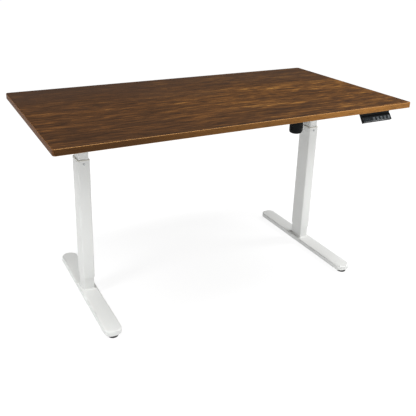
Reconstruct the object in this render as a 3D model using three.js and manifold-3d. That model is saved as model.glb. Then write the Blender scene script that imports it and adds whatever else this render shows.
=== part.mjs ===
// Height-adjustable standing desk: a stained board on a welded steel frame with two telescopic columns.
// One motor beside the right column turns both lifting spindles, through a hex shaft under the board.
// Lengths are millimetres. X runs left to right, Y front to back and Z up. The origin is on the floor,
// under the centre of the board.
import * as THREE from "three";
import { mergeVertices } from "three/addons/utils/BufferGeometryUtils.js";
import Module from "manifold-3d";

const wasm = await Module();
wasm.setup();

// ---- Driving dimensions ----
const GAP = 0.3; // between pieces that touch
const BITE = 1; // how far a cut or a join runs past the face that it meets
const SIDES = { left: -1, right: 1 };
const ENDS = { front: -1, back: 1 };

const BOARD = { width: 1400, depth: 730, thickness: 22, top: 740, corner: 10, edge: 2, edgeSteps: 2 };
const UNDERSIDE = BOARD.top - BOARD.thickness;

const COLUMN_X = 513; // each column's centre from the middle of the desk
const COLUMN_Y = 11;

const FOOT = {
  width: 64, length: 604, bottom: 12, top: 31, y: -11, corner: 28, edge: 5, edgeSteps: 3, wall: 2.5,
};
const GLIDE = { radius: 19, height: 8, inset: 24, stud: 4, collar: 7.5, studTop: 27 };
const BOSS = { radius: 9, bottom: 16 };

const OUTER = { width: 45, depth: 72, corner: 5, wall: 2, bottom: 82, top: 562 };
const INNER = { width: 38, depth: 65, corner: 4, wall: 2, bottom: 100, top: 675 };
const STUB = { width: 39, depth: 66, corner: 3, wall: 2.5, top: 88 };
const BORE = { width: OUTER.width - 2 * OUTER.wall, depth: OUTER.depth - 2 * OUTER.wall, corner: 3 };
const COLLAR = { sleeve: 32, lip: 2 };
const COLLAR_SCREW = { z: 549, headRadius: 4.5, headHeight: 1.8, shank: 2.2, hole: 2.6 };

const SPINDLE = { radius: 7, bottom: 124, intoGearbox: 15 };
const NUT = { radius: 15, bottom: 530, height: 26, bore: 7.4 };
const NUT_TUBE = { radius: 15, bore: 12 };
const BASE_PLATE = 3;

const RAIL = { width: 25, height: 40, corner: 2.5, slimCorner: 1.5, wall: 2, overlap: 70, end: 545 };
const GEARBOX = { outerX: 545, innerX: 481, depth: 72, corner: 3, edge: 1.5 };
const GEARBOX_MOTOR_X = 407; // the right gearbox reaches over the motor
const BRACKET = { length: 580, thickness: 3, outerX: 548.3, innerX: 487, tip: 14, pastRail: 4 };
const FRAME_TOP = UNDERSIDE - BRACKET.thickness - 2 * GAP; // top of the rails and gearboxes

const SHAFT = { acrossFlats: 8, z: 697, intoGearbox: 13, seatRadius: 6 };
const COUPLING = { radius: 10, length: 32, bore: 5, clearance: 2 };

const MOTOR_CASE = {
  left: 409, right: 464, front: -24, back: 31, bottom: 541, corner: 27, edge: 10, edgeSteps: 4, wall: 2.5,
  arcSteps: 6,
};
const MOTOR = { radius: 23.5, bottom: 560 };
const MOTOR_BRACKET = { thickness: 2.5, front: -12, lip: 8, flange: 24, bottom: 549 };

const CONTROL = { left: 60, right: 330, front: 96, back: 186, bottom: 678, wall: 2.5, corner: 4, ear: 15 };
const CONTROL_COVER = 4;
const BOARD_CIRCUIT = { thickness: 1.6, inset: 12, z: 688, post: 3 };
const SOCKETS = {
  power_inlet: { y: 117, width: 28, height: 20, length: 16 },
  motor_socket: { y: 147, width: 22, height: 15, length: 14 },
  handset_socket: { y: 171, width: 16, height: 13, length: 12 },
};
const SOCKET_WALL = 2;
const SOCKET_BACK = 3;
const SOCKET_Z = 698;

const HANDSET = {
  x: 541, width: 140, tilt: 35, faceLength: 22, frontY: -361, frontZ: 681.5, thick: 11, slope: 26, brow: 4,
};
const HANDSET_NECK_Y = -343;
const HANDSET_FLANGE = { back: -298, thickness: 3.5 };
const PANEL = { width: 136, height: 18.5, thickness: 1.2 };
const DISPLAY = { x: -48, width: 32, height: 13, thickness: 1, sunk: 0.1 };
const BUTTON = { width: 12, height: 13, above: 0.8, below: 1.9, pitch: 18.5, firstX: -16, well: 3.4 };
const BUTTON_NAMES = ["memory_1", "memory_2", "memory_3", "up", "down"];

const ARC_STEPS = 2;
const ROUND_SIDES = 20;
const SMALL_ROUND_SIDES = 16;
const POST_SIDES = 12;
const HEXAGON_SIDES = 6;
const SMALLEST_CORNER = 1;
const MERGE_DISTANCE = 1e-4;

const FINISHES = {
  stainedWood: { color: 0x69492d, roughness: 0.5, metalness: 0 },
  whiteCoat: { color: 0xe6e7e6, roughness: 0.45, metalness: 0.1 },
  blackPlastic: { color: 0x17191a, roughness: 0.6, metalness: 0 },
  glossBlack: { color: 0x0d0f10, roughness: 0.15, metalness: 0 },
  buttonGrey: { color: 0x2b2f31, roughness: 0.35, metalness: 0 },
  steel: { color: 0x9a9c9e, roughness: 0.35, metalness: 0.9 },
  castAluminium: { color: 0xa8aaac, roughness: 0.55, metalness: 0.8 },
  acetal: { color: 0xdad7cc, roughness: 0.5, metalness: 0 },
  rubber: { color: 0x121212, roughness: 0.8, metalness: 0 },
  circuitBoard: { color: 0x1f5a35, roughness: 0.5, metalness: 0 },
};

const desk = new THREE.Group();

// ---- Shapes and solids ----
function solidFrom(geometry) {
  const bare = geometry.clone();
  bare.deleteAttribute("normal");
  bare.deleteAttribute("uv");
  const merged = mergeVertices(bare, MERGE_DISTANCE);
  const mesh = new wasm.Mesh({
    numProp: 3,
    vertProperties: merged.attributes.position.array,
    triVerts: new Uint32Array(merged.index.array),
  });
  return new wasm.Manifold(mesh);
}

function geometryFrom(solid) {
  const mesh = solid.getMesh();
  const geometry = new THREE.BufferGeometry();
  geometry.setAttribute("position", new THREE.BufferAttribute(mesh.vertProperties, 3));
  geometry.setIndex(new THREE.BufferAttribute(mesh.triVerts, 1));
  const faceted = geometry.toNonIndexed();
  faceted.computeVertexNormals();
  return faceted;
}

function addPiece(name, solid, finish, group = desk) {
  const mesh = new THREE.Mesh(geometryFrom(solid), new THREE.MeshStandardMaterial(FINISHES[finish]));
  mesh.name = name;
  group.add(mesh);
  return mesh;
}

function roundedRectangle(width, depth, radius) {
  const x = width / 2 - radius;
  const y = depth / 2 - radius;
  const quarter = Math.PI / 2;
  const shape = new THREE.Shape();
  shape.absarc(x, y, radius, 0, quarter);
  shape.absarc(-x, y, radius, quarter, 2 * quarter);
  shape.absarc(-x, -y, radius, 2 * quarter, 3 * quarter);
  shape.absarc(x, -y, radius, 3 * quarter, 4 * quarter);
  return shape;
}

// A shape in the XY plane, raised from one height to another.
function prism(shape, bottom, top, arcSteps = ARC_STEPS) {
  const settings = { depth: top - bottom, bevelEnabled: false, curveSegments: arcSteps };
  const geometry = new THREE.ExtrudeGeometry(shape, settings);
  geometry.translate(0, 0, bottom);
  return solidFrom(geometry);
}

// The same with rounded arrises at both ends, inside the stated size.
function easedPrism(shape, bottom, top, { edge, edgeSteps = 1, arcSteps = ARC_STEPS }) {
  const settings = {
    depth: top - bottom - 2 * edge,
    bevelThickness: edge,
    bevelSize: edge,
    bevelOffset: -edge,
    bevelSegments: edgeSteps,
    curveSegments: arcSteps,
  };
  const geometry = new THREE.ExtrudeGeometry(shape, settings);
  geometry.translate(0, 0, bottom + edge);
  return solidFrom(geometry);
}

// A profile drawn as (Y, Z) points, swept along X.
function sweepAlongX(points, fromX, toX) {
  const shape = new THREE.Shape(points.map(([y, z]) => new THREE.Vector2(y, z)));
  const geometry = new THREE.ExtrudeGeometry(shape, { depth: toX - fromX, bevelEnabled: false });
  const turned = new THREE.Matrix4().makeBasis(
    new THREE.Vector3(0, 1, 0),
    new THREE.Vector3(0, 0, 1),
    new THREE.Vector3(1, 0, 0),
  );
  geometry.applyMatrix4(turned);
  geometry.translate(fromX, 0, 0);
  return solidFrom(geometry);
}

function block(low, high) {
  const size = high.map((value, axis) => value - low[axis]);
  const geometry = new THREE.BoxGeometry(...size);
  geometry.translate(...high.map((value, axis) => (value + low[axis]) / 2));
  return solidFrom(geometry);
}

function uprightRod(radius, bottom, top, sides = ROUND_SIDES) {
  const geometry = new THREE.CylinderGeometry(radius, radius, top - bottom, sides);
  geometry.rotateX(Math.PI / 2);
  geometry.translate(0, 0, (top + bottom) / 2);
  return solidFrom(geometry);
}

function rodAlongX(radius, fromX, toX, sides = ROUND_SIDES) {
  const geometry = new THREE.CylinderGeometry(radius, radius, toX - fromX, sides);
  geometry.rotateZ(Math.PI / 2);
  geometry.translate((fromX + toX) / 2, 0, 0);
  return solidFrom(geometry);
}

function rodAlongY(radius, fromY, toY, sides = ROUND_SIDES) {
  const geometry = new THREE.CylinderGeometry(radius, radius, toY - fromY, sides);
  geometry.translate(0, (fromY + toY) / 2, 0);
  return solidFrom(geometry);
}

function squareTube(section, bottom, top) {
  const outside = roundedRectangle(section.width, section.depth, section.corner);
  const wall = section.wall;
  const inside = roundedRectangle(
    section.width - 2 * wall,
    section.depth - 2 * wall,
    Math.max(section.corner - wall, SMALLEST_CORNER),
  );
  outside.holes.push(inside);
  return prism(outside, bottom, top);
}

// ---- The board ----
function addBoard() {
  const outline = roundedRectangle(BOARD.width, BOARD.depth, BOARD.corner);
  addPiece("desktop", easedPrism(outline, UNDERSIDE, BOARD.top, BOARD), "stainedWood");
}

// ---- Feet: pressed steel, open underneath, with a threaded boss for each levelling glide ----
function footShell() {
  const outline = roundedRectangle(FOOT.width, FOOT.length, FOOT.corner);
  const raised = easedPrism(outline, FOOT.bottom - FOOT.edge, FOOT.top, FOOT);
  const reach = FOOT.length;
  const below = block([-reach, -reach, 0], [reach, reach, FOOT.bottom]);
  const cavity = prism(
    roundedRectangle(FOOT.width - 2 * FOOT.wall, FOOT.length - 2 * FOOT.wall, FOOT.corner - FOOT.wall),
    FOOT.bottom - BITE,
    FOOT.top - 2 * FOOT.wall,
  );
  return raised.subtract(below).subtract(cavity);
}

function glideY(end) {
  return end * (FOOT.length / 2 - GLIDE.inset);
}

function foot() {
  const roof = FOOT.top - 2 * FOOT.wall;
  let solid = footShell();
  for (const end of Object.values(ENDS)) {
    const boss = uprightRod(BOSS.radius, BOSS.bottom, roof + FOOT.wall / 2);
    const thread = uprightRod(GLIDE.stud + GAP, FOOT.bottom - BITE, GLIDE.studTop + GAP);
    solid = solid.add(boss.translate(0, glideY(end), 0));
    solid = solid.subtract(thread.translate(0, glideY(end), 0));
  }
  return solid;
}

function glideStud() {
  const collar = uprightRod(GLIDE.collar, GLIDE.height + GAP, FOOT.bottom - GAP, HEXAGON_SIDES);
  const shank = uprightRod(GLIDE.stud, GLIDE.height + BITE, GLIDE.studTop, SMALL_ROUND_SIDES);
  return collar.add(shank);
}

function addFoot(side, group) {
  const footGroup = new THREE.Group();
  footGroup.position.set(0, FOOT.y - COLUMN_Y, 0);
  group.add(footGroup);
  addPiece(`${side}_foot`, foot(), "whiteCoat", footGroup);
  for (const [endName, end] of Object.entries(ENDS)) {
    const pad = addPiece(
      `${side}_${endName}_glide_pad`,
      uprightRod(GLIDE.radius, 0, GLIDE.height),
      "rubber",
      footGroup,
    );
    const stud = addPiece(`${side}_${endName}_glide_stud`, glideStud(), "steel", footGroup);
    pad.position.y = glideY(end);
    stud.position.y = glideY(end);
  }
}

// ---- Columns: a fixed outer tube on the foot, and an inner tube that slides up out of it ----
function outerTube() {
  const tube = squareTube(OUTER, OUTER.bottom, OUTER.top);
  const front = -OUTER.depth / 2;
  const hole = rodAlongY(COLLAR_SCREW.hole, front - BITE, front + OUTER.wall + BITE, SMALL_ROUND_SIDES);
  return tube.subtract(hole.translate(0, 0, COLLAR_SCREW.z));
}

function collarScrew() {
  const seat = -OUTER.depth / 2 - GAP;
  const { headRadius, headHeight, shank } = COLLAR_SCREW;
  const head = rodAlongY(headRadius, seat - headHeight, seat, SMALL_ROUND_SIDES);
  const thread = rodAlongY(shank, seat - BITE, seat + GAP + OUTER.wall, SMALL_ROUND_SIDES);
  return head.add(thread).translate(0, 0, COLLAR_SCREW.z);
}

// A plastic sleeve between the two tubes, with a lip that covers the outer tube's rim.
function guideCollar() {
  const lipBottom = OUTER.top + GAP;
  const rim = roundedRectangle(OUTER.width, OUTER.depth, OUTER.corner);
  const lip = prism(rim, lipBottom, lipBottom + COLLAR.lip);
  const sleeve = prism(
    roundedRectangle(BORE.width - 2 * GAP, BORE.depth - 2 * GAP, BORE.corner),
    OUTER.top - COLLAR.sleeve,
    lipBottom + BITE,
  );
  const passage = prism(
    roundedRectangle(INNER.width + 2 * GAP, INNER.depth + 2 * GAP, INNER.corner),
    OUTER.top - COLLAR.sleeve - BITE,
    lipBottom + COLLAR.lip + BITE,
  );
  return lip.add(sleeve).subtract(passage);
}

function lowerGuide() {
  const plate = prism(
    roundedRectangle(BORE.width - 2 * GAP, BORE.depth - 2 * GAP, BORE.corner),
    STUB.top + BASE_PLATE + 3 * GAP,
    INNER.bottom - GAP,
  );
  return plate.subtract(uprightRod(NUT_TUBE.radius + 2 * GAP, 0, INNER.bottom));
}

function basePlate() {
  const outline = roundedRectangle(BORE.width - 2 * GAP, BORE.depth - 2 * GAP, BORE.corner);
  const plate = prism(outline, STUB.top + GAP, STUB.top + GAP + BASE_PLATE);
  return plate.subtract(uprightRod(SPINDLE.radius, 0, INNER.bottom));
}

function nutTube() {
  const bottom = STUB.top + BASE_PLATE + 2 * GAP;
  const top = NUT.bottom - GAP;
  const bore = uprightRod(NUT_TUBE.bore, bottom - BITE, top + BITE);
  return uprightRod(NUT_TUBE.radius, bottom, top).subtract(bore);
}

function spindleNut() {
  const top = NUT.bottom + NUT.height;
  const bore = uprightRod(NUT.bore, NUT.bottom - BITE, top + BITE);
  return uprightRod(NUT.radius, NUT.bottom, top).subtract(bore);
}

function addColumn(side, group) {
  const spindleTop = INNER.top + GAP + SPINDLE.intoGearbox;
  addPiece(`${side}_foot_stub`, squareTube(STUB, FOOT.top + GAP, STUB.top), "whiteCoat", group);
  addPiece(`${side}_outer_tube`, outerTube(), "whiteCoat", group);
  addPiece(`${side}_collar_screw`, collarScrew(), "steel", group);
  addPiece(`${side}_guide_collar`, guideCollar(), "acetal", group);
  addPiece(`${side}_base_plate`, basePlate(), "steel", group);
  addPiece(`${side}_nut_tube`, nutTube(), "steel", group);
  addPiece(`${side}_spindle_nut`, spindleNut(), "acetal", group);
  addPiece(`${side}_inner_tube`, squareTube(INNER, INNER.bottom, INNER.top), "whiteCoat", group);
  addPiece(`${side}_lower_guide`, lowerGuide(), "acetal", group);
  addPiece(`${side}_spindle`, uprightRod(SPINDLE.radius, SPINDLE.bottom, spindleTop), "steel", group);
}

// ---- Drive: a gearbox on each column, and a hex shaft between them ----
function gearbox(sign) {
  const inner = sign > 0 ? GEARBOX_MOTOR_X : GEARBOX.innerX;
  const width = GEARBOX.outerX - inner;
  const centreX = (sign * (GEARBOX.outerX + inner)) / 2 - sign * COLUMN_X;
  const bottom = INNER.top + GAP;
  const outline = roundedRectangle(width, GEARBOX.depth, GEARBOX.corner);
  const body = easedPrism(outline, bottom, FRAME_TOP, GEARBOX).translate(centreX, 0, 0);
  const seatTop = bottom + SPINDLE.intoGearbox + BITE;
  const spindleSeat = uprightRod(SPINDLE.radius + 2 * GAP, bottom - BITE, seatTop);
  const innerFace = sign * (inner - COLUMN_X);
  const seatEnds = [innerFace - sign * BITE, innerFace + sign * (SHAFT.intoGearbox + BITE)];
  const shaftSeat = rodAlongX(SHAFT.seatRadius, Math.min(...seatEnds), Math.max(...seatEnds));
  return body.subtract(spindleSeat).subtract(shaftSeat.translate(0, 0, SHAFT.z));
}

function addShaft() {
  const shaftGroup = new THREE.Group();
  shaftGroup.position.set(0, COLUMN_Y, SHAFT.z);
  desk.add(shaftGroup);
  const radius = SHAFT.acrossFlats / Math.sqrt(3);
  const left = -GEARBOX.innerX - SHAFT.intoGearbox;
  const right = GEARBOX_MOTOR_X + SHAFT.intoGearbox;
  addPiece("hex_shaft", rodAlongX(radius, left, right, HEXAGON_SIDES), "steel", shaftGroup);
  const starts = {
    left: COUPLING.clearance - GEARBOX.innerX,
    right: GEARBOX_MOTOR_X - COUPLING.clearance - COUPLING.length,
  };
  for (const [side, start] of Object.entries(starts)) {
    const end = start + COUPLING.length;
    const bore = rodAlongX(COUPLING.bore, start - BITE, end + BITE);
    const sleeve = rodAlongX(COUPLING.radius, start, end).subtract(bore);
    addPiece(`${side}_shaft_coupling`, sleeve, "steel", shaftGroup);
  }
}

// ---- Top frame: two telescopic rails and a bracket under each end of the board ----
function rail(section, fromX, toX) {
  const tube = squareTube(section, fromX, toX);
  return tube.rotate([0, 90, 0]);
}

function addRails() {
  const reach = (GEARBOX.depth + RAIL.width) / 2 + 2 * GAP;
  const slim = 2 * RAIL.wall + 2 * GAP;
  const wide = { width: RAIL.height, depth: RAIL.width, corner: RAIL.corner, wall: RAIL.wall };
  const narrow = {
    width: RAIL.height - slim,
    depth: RAIL.width - slim,
    corner: RAIL.slimCorner,
    wall: RAIL.wall,
  };
  for (const [endName, end] of Object.entries(ENDS)) {
    const left = addPiece(`${endName}_rail_left`, rail(wide, -RAIL.end, RAIL.overlap), "whiteCoat");
    const right = addPiece(`${endName}_rail_right`, rail(narrow, -RAIL.overlap, RAIL.end), "whiteCoat");
    for (const piece of [left, right]) {
      piece.position.set(0, COLUMN_Y + end * reach, FRAME_TOP - RAIL.height / 2);
    }
  }
}

function addSideBracket(side, sign) {
  const half = BRACKET.length / 2;
  const top = UNDERSIDE - GAP;
  const bottom = top - BRACKET.thickness;
  const tip = top - BRACKET.tip;
  const railBottom = FRAME_TOP - RAIL.height;
  const deepReach = GEARBOX.depth / 2 + RAIL.width + BRACKET.pastRail;
  const railFront = COLUMN_Y - deepReach;
  const railBack = COLUMN_Y + deepReach;
  const span = (a, b) => [Math.min(sign * a, sign * b), Math.max(sign * a, sign * b)];
  const [plateLow, plateHigh] = span(BRACKET.innerX, BRACKET.outerX);
  const plate = block([plateLow, -half, bottom], [plateHigh, half, top]);
  const outerOutline = [
    [-half, top], [-half, tip], [railFront, railBottom], [railBack, railBottom], [half, tip], [half, top],
  ];
  const frontOutline = [[-half, top], [-half, tip], [railFront, railBottom + BRACKET.tip], [railFront, top]];
  const backOutline = [[railBack, top], [railBack, railBottom + BRACKET.tip], [half, tip], [half, top]];
  const outer = sweepAlongX(outerOutline, ...span(BRACKET.outerX - BRACKET.thickness, BRACKET.outerX));
  const innerSpan = span(BRACKET.innerX, BRACKET.innerX + BRACKET.thickness);
  const front = sweepAlongX(frontOutline, ...innerSpan);
  const back = sweepAlongX(backOutline, ...innerSpan);
  addPiece(`${side}_side_bracket`, plate.add(outer).add(front).add(back), "whiteCoat");
}

// ---- Motor, hung under the right gearbox beside the column ----
function motorCasing() {
  const { left, right, front, back, bottom, corner, edge, wall, arcSteps } = MOTOR_CASE;
  const width = right - left;
  const depth = back - front;
  const outline = roundedRectangle(width, depth, corner);
  const tall = easedPrism(outline, bottom, INNER.top + edge, MOTOR_CASE);
  const above = block([-width, -depth, INNER.top], [width, depth, INNER.top + 2 * edge]);
  const cavityOutline = roundedRectangle(width - 2 * wall, depth - 2 * wall, corner - wall);
  const cavity = prism(cavityOutline, bottom + edge - BITE, INNER.top + BITE, arcSteps);
  return tall.subtract(above).subtract(cavity);
}

function motorBracket() {
  const x = MOTOR_CASE.right + GAP;
  const plateX = x + MOTOR_BRACKET.thickness;
  const back = MOTOR_CASE.back;
  const { thickness, front, lip, flange, bottom } = MOTOR_BRACKET;
  const side = block([x, front, bottom], [plateX, back, INNER.top]);
  const backLip = block([x, back - thickness, bottom], [x + lip, back, INNER.top]);
  const topFlange = block([x, front, INNER.top - thickness], [x + flange, back, INNER.top]);
  return side.add(backLip).add(topFlange);
}

function addMotor() {
  const x = (MOTOR_CASE.left + MOTOR_CASE.right) / 2;
  const y = (MOTOR_CASE.front + MOTOR_CASE.back) / 2;
  const casing = addPiece("motor_casing", motorCasing(), "blackPlastic");
  const motor = addPiece("motor", uprightRod(MOTOR.radius, MOTOR.bottom, INNER.top), "steel");
  casing.position.set(x, y, 0);
  motor.position.set(x, y, 0);
  addPiece("motor_bracket", motorBracket(), "whiteCoat");
}

// ---- Control box under the back of the board ----
function controlBoxBase() {
  const { left, right, front, back, wall, corner, bottom } = CONTROL;
  const top = UNDERSIDE - CONTROL_COVER - 2 * GAP;
  const width = right - left;
  const depth = back - front;
  const outside = prism(roundedRectangle(width, depth, corner), bottom, top);
  const insideOutline = roundedRectangle(width - 2 * wall, depth - 2 * wall, corner - wall);
  const inside = prism(insideOutline, bottom + wall, top + BITE);
  let solid = outside.subtract(inside);
  for (const sx of [-1, 1]) {
    for (const sy of [-1, 1]) {
      const post = uprightRod(BOARD_CIRCUIT.post, bottom + wall / 2, BOARD_CIRCUIT.z - GAP, POST_SIDES);
      const reachX = width / 2 - 2 * BOARD_CIRCUIT.inset;
      const reachY = depth / 2 - 2 * BOARD_CIRCUIT.inset;
      solid = solid.add(post.translate(sx * reachX, sy * reachY, 0));
    }
  }
  return solid;
}

function socket({ width, height, length }) {
  const shell = block([0, -width / 2, -height / 2], [length, width / 2, height / 2]);
  const hollow = block(
    [SOCKET_BACK, SOCKET_WALL - width / 2, SOCKET_WALL - height / 2],
    [length + BITE, width / 2 - SOCKET_WALL, height / 2 - SOCKET_WALL],
  );
  return shell.subtract(hollow);
}

function addControlBox() {
  const { left, right, front, back, ear } = CONTROL;
  const inset = BOARD_CIRCUIT.inset;
  const base = addPiece("control_box_base", controlBoxBase(), "blackPlastic");
  base.position.set((left + right) / 2, (front + back) / 2, 0);
  const coverTop = UNDERSIDE - GAP;
  const cover = block([left - ear, front, coverTop - CONTROL_COVER], [right + ear, back, coverTop]);
  addPiece("control_box_cover", cover, "blackPlastic");
  const circuit = block(
    [left + inset, front + inset, BOARD_CIRCUIT.z],
    [right - inset, back - inset, BOARD_CIRCUIT.z + BOARD_CIRCUIT.thickness],
  );
  addPiece("circuit_board", circuit, "circuitBoard");
  for (const [name, size] of Object.entries(SOCKETS)) {
    const piece = addPiece(name, socket(size), "glossBlack");
    piece.position.set(right + GAP, size.y, SOCKET_Z);
  }
}

// ---- Handset under the front edge: a sloped face with a display and five push buttons ----
const faceAngle = THREE.MathUtils.degToRad(90 - HANDSET.tilt);
const faceUp = [Math.cos(faceAngle), Math.sin(faceAngle)]; // along the face, as (Y, Z)
const faceIn = [Math.sin(faceAngle), -Math.cos(faceAngle)]; // into the case, as (Y, Z)
const faceCentre = new THREE.Vector3(
  HANDSET.x,
  HANDSET.frontY + (faceUp[0] * HANDSET.faceLength) / 2,
  HANDSET.frontZ + (faceUp[1] * HANDSET.faceLength) / 2,
);

// A block in the face's own frame: X along the desk, Y up the face, Z out of it.
function faceBlock(x, width, height, low, high) {
  const geometry = new THREE.BoxGeometry(width, height, high - low);
  geometry.translate(x, 0, (low + high) / 2);
  return solidFrom(geometry);
}

function inHandset(solid) {
  const { x, y, z } = faceCentre;
  return solid.rotate([90 - HANDSET.tilt, 0, 0]).translate(x, y, z);
}

function buttonX(index) {
  return BUTTON.firstX + index * BUTTON.pitch;
}

function buttonHole(index, depth) {
  return faceBlock(buttonX(index), BUTTON.width + 2 * GAP, BUTTON.height + 2 * GAP, -depth, BITE);
}

function handsetCase() {
  const { frontY, frontZ, faceLength, thick, slope, brow, x, width } = HANDSET;
  const top = UNDERSIDE - GAP;
  const flangeBottom = top - HANDSET_FLANGE.thickness;
  const faceTop = [frontY + faceUp[0] * faceLength, frontZ + faceUp[1] * faceLength];
  const heel = [frontY + faceIn[0] * thick, frontZ + faceIn[1] * thick];
  const outline = [
    [frontY, frontZ],
    heel,
    [heel[0] + slope, flangeBottom],
    [HANDSET_FLANGE.back, flangeBottom],
    [HANDSET_FLANGE.back, top],
    [HANDSET_NECK_Y, top],
    [HANDSET_NECK_Y, faceTop[1] + brow],
    faceTop,
  ];
  let solid = sweepAlongX(outline, x - width / 2, x + width / 2);
  const recessDepth = PANEL.thickness + GAP;
  const recess = faceBlock(0, PANEL.width + 2 * GAP, PANEL.height + 2 * GAP, -recessDepth, BITE);
  solid = solid.subtract(inHandset(recess));
  BUTTON_NAMES.forEach((_, index) => {
    solid = solid.subtract(inHandset(buttonHole(index, BUTTON.well)));
  });
  return solid;
}

function handsetPanel() {
  let panel = faceBlock(0, PANEL.width, PANEL.height, -PANEL.thickness, 0);
  const depth = PANEL.thickness + BITE;
  const window = faceBlock(DISPLAY.x, DISPLAY.width + 2 * GAP, DISPLAY.height + 2 * GAP, -depth, BITE);
  panel = panel.subtract(window);
  BUTTON_NAMES.forEach((_, index) => {
    panel = panel.subtract(buttonHole(index, depth));
  });
  return panel;
}

function addHandset() {
  addPiece("handset_case", handsetCase(), "blackPlastic");
  const face = new THREE.Group();
  face.position.copy(faceCentre);
  face.rotation.x = faceAngle;
  desk.add(face);
  addPiece("handset_panel", handsetPanel(), "glossBlack", face);
  const { x, width, height, thickness, sunk } = DISPLAY;
  const display = faceBlock(x, width, height, -thickness - sunk, -sunk);
  addPiece("handset_display", display, "glossBlack", face);
  BUTTON_NAMES.forEach((name, index) => {
    const button = faceBlock(buttonX(index), BUTTON.width, BUTTON.height, -BUTTON.below, BUTTON.above);
    addPiece(`button_${name}`, button, "buttonGrey", face);
  });
}

// ---- Assembly ----
addBoard();
for (const [side, sign] of Object.entries(SIDES)) {
  const leg = new THREE.Group();
  leg.position.set(sign * COLUMN_X, COLUMN_Y, 0);
  desk.add(leg);
  addFoot(side, leg);
  addColumn(side, leg);
  addPiece(`${side}_gearbox`, gearbox(sign), "castAluminium", leg);
  addSideBracket(side, sign);
}
addRails();
addShaft();
addMotor();
addControlBox();
addHandset();

export default desk;
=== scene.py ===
# %% [markdown]
# # A height adjustable standing desk
# The desk is a stained wooden board on a white steel frame. Two telescopic columns lift the board, one
# motor beside the right column drives both, and a handset under the front edge holds the buttons.
# The CAD frame gives every size and place here, so the first step loads it and changes nothing in it.

# %% Load the frame
import math

import bmesh
import bpy
from mathutils import Matrix, Vector


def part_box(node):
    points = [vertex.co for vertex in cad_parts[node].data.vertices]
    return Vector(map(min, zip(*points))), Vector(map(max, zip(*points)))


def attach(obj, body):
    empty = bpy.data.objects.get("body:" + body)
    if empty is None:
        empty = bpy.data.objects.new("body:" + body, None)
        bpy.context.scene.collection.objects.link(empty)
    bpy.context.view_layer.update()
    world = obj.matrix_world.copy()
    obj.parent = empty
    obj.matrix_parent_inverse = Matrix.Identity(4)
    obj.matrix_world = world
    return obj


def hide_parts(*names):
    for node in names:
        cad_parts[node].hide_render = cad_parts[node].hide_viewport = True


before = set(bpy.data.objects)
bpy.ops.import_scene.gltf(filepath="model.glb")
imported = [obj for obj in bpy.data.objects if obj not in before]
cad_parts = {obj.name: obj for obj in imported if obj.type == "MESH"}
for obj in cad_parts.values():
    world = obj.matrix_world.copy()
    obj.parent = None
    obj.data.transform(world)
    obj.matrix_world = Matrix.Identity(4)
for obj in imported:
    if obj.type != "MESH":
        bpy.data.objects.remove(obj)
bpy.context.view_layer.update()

MM = 0.001
SIDES = {"left": -1, "right": 1}
ENDS = {"front": -1, "back": 1}

# %% [markdown]
# ## Camera
# Furniture is usually shown from standing height with a normal lens. The lens is shifted down a little
# instead of tilting further, which keeps the columns almost upright in the view.

# %% Camera
CAMERA_PLACE = Vector((-1.052, -1.914, 1.288))
YAW, PITCH, ROLL = (math.radians(angle) for angle in (27.62, -19.69, 1.32))

aim = Vector((
    math.sin(YAW) * math.cos(PITCH),
    math.cos(YAW) * math.cos(PITCH),
    math.sin(PITCH),
))
facing = aim.to_track_quat("-Z", "Y").to_matrix() @ Matrix.Rotation(ROLL, 3, "Z")
camera = bpy.data.objects.new("camera", bpy.data.cameras.new("camera"))
camera.matrix_world = Matrix.Translation(CAMERA_PLACE) @ facing.to_4x4()
camera.data.lens = 49.87
camera.data.shift_x = 0.0293
camera.data.shift_y = -0.1305
bpy.context.scene.collection.objects.link(camera)
bpy.context.scene.camera = camera
print("camera", [round(value, 3) for value in camera.location], "lens", camera.data.lens)

# %% [markdown]
# ## Shader maths
# A finish is easier to read as a formula than as a list of nodes. `Wire` holds one output socket and
# overloads the usual operators, so `1 - mask` or `grain * 0.3` adds the Math node it needs. `Finish`
# holds one material: its `add` makes any node, sets the node's settings first and then its sockets.

# %% Wires and finishes
def linear(code):
    """A colour code such as "#7a5230" as the linear values that a shader wants."""
    values = [int(code[i:i + 2], 16) / 255 for i in (1, 3, 5)]
    return [v / 12.92 if v <= 0.04045 else ((v + 0.055) / 1.055) ** 2.4 for v in values] + [1.0]


def plug(tree, socket, value):
    """Puts a wire, a number, a vector or a colour into a socket."""
    if isinstance(value, Wire):
        tree.links.new(value.socket, socket)
    else:
        socket.default_value = value


def compute(tree, operation, *values):
    """A Math node on the given values, each a wire or a number."""
    node = tree.nodes.new("ShaderNodeMath")
    node.operation = operation
    for socket, value in zip(node.inputs, values):
        plug(tree, socket, value)
    return Wire(tree, node.outputs[0])


class Wire:
    """One output socket. Arithmetic on it adds Math nodes."""

    def __init__(self, tree, socket):
        self.tree = tree
        self.socket = socket

    def do(self, operation, *others):
        return compute(self.tree, operation, self, *others)

    def __add__(self, other):
        return compute(self.tree, "ADD", self, other)

    def __radd__(self, other):
        return compute(self.tree, "ADD", other, self)

    def __sub__(self, other):
        return compute(self.tree, "SUBTRACT", self, other)

    def __rsub__(self, other):
        return compute(self.tree, "SUBTRACT", other, self)

    def __mul__(self, other):
        return compute(self.tree, "MULTIPLY", self, other)

    def __rmul__(self, other):
        return compute(self.tree, "MULTIPLY", other, self)

    def __truediv__(self, other):
        return compute(self.tree, "DIVIDE", self, other)

    def __pow__(self, other):
        return compute(self.tree, "POWER", self, other)


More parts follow.
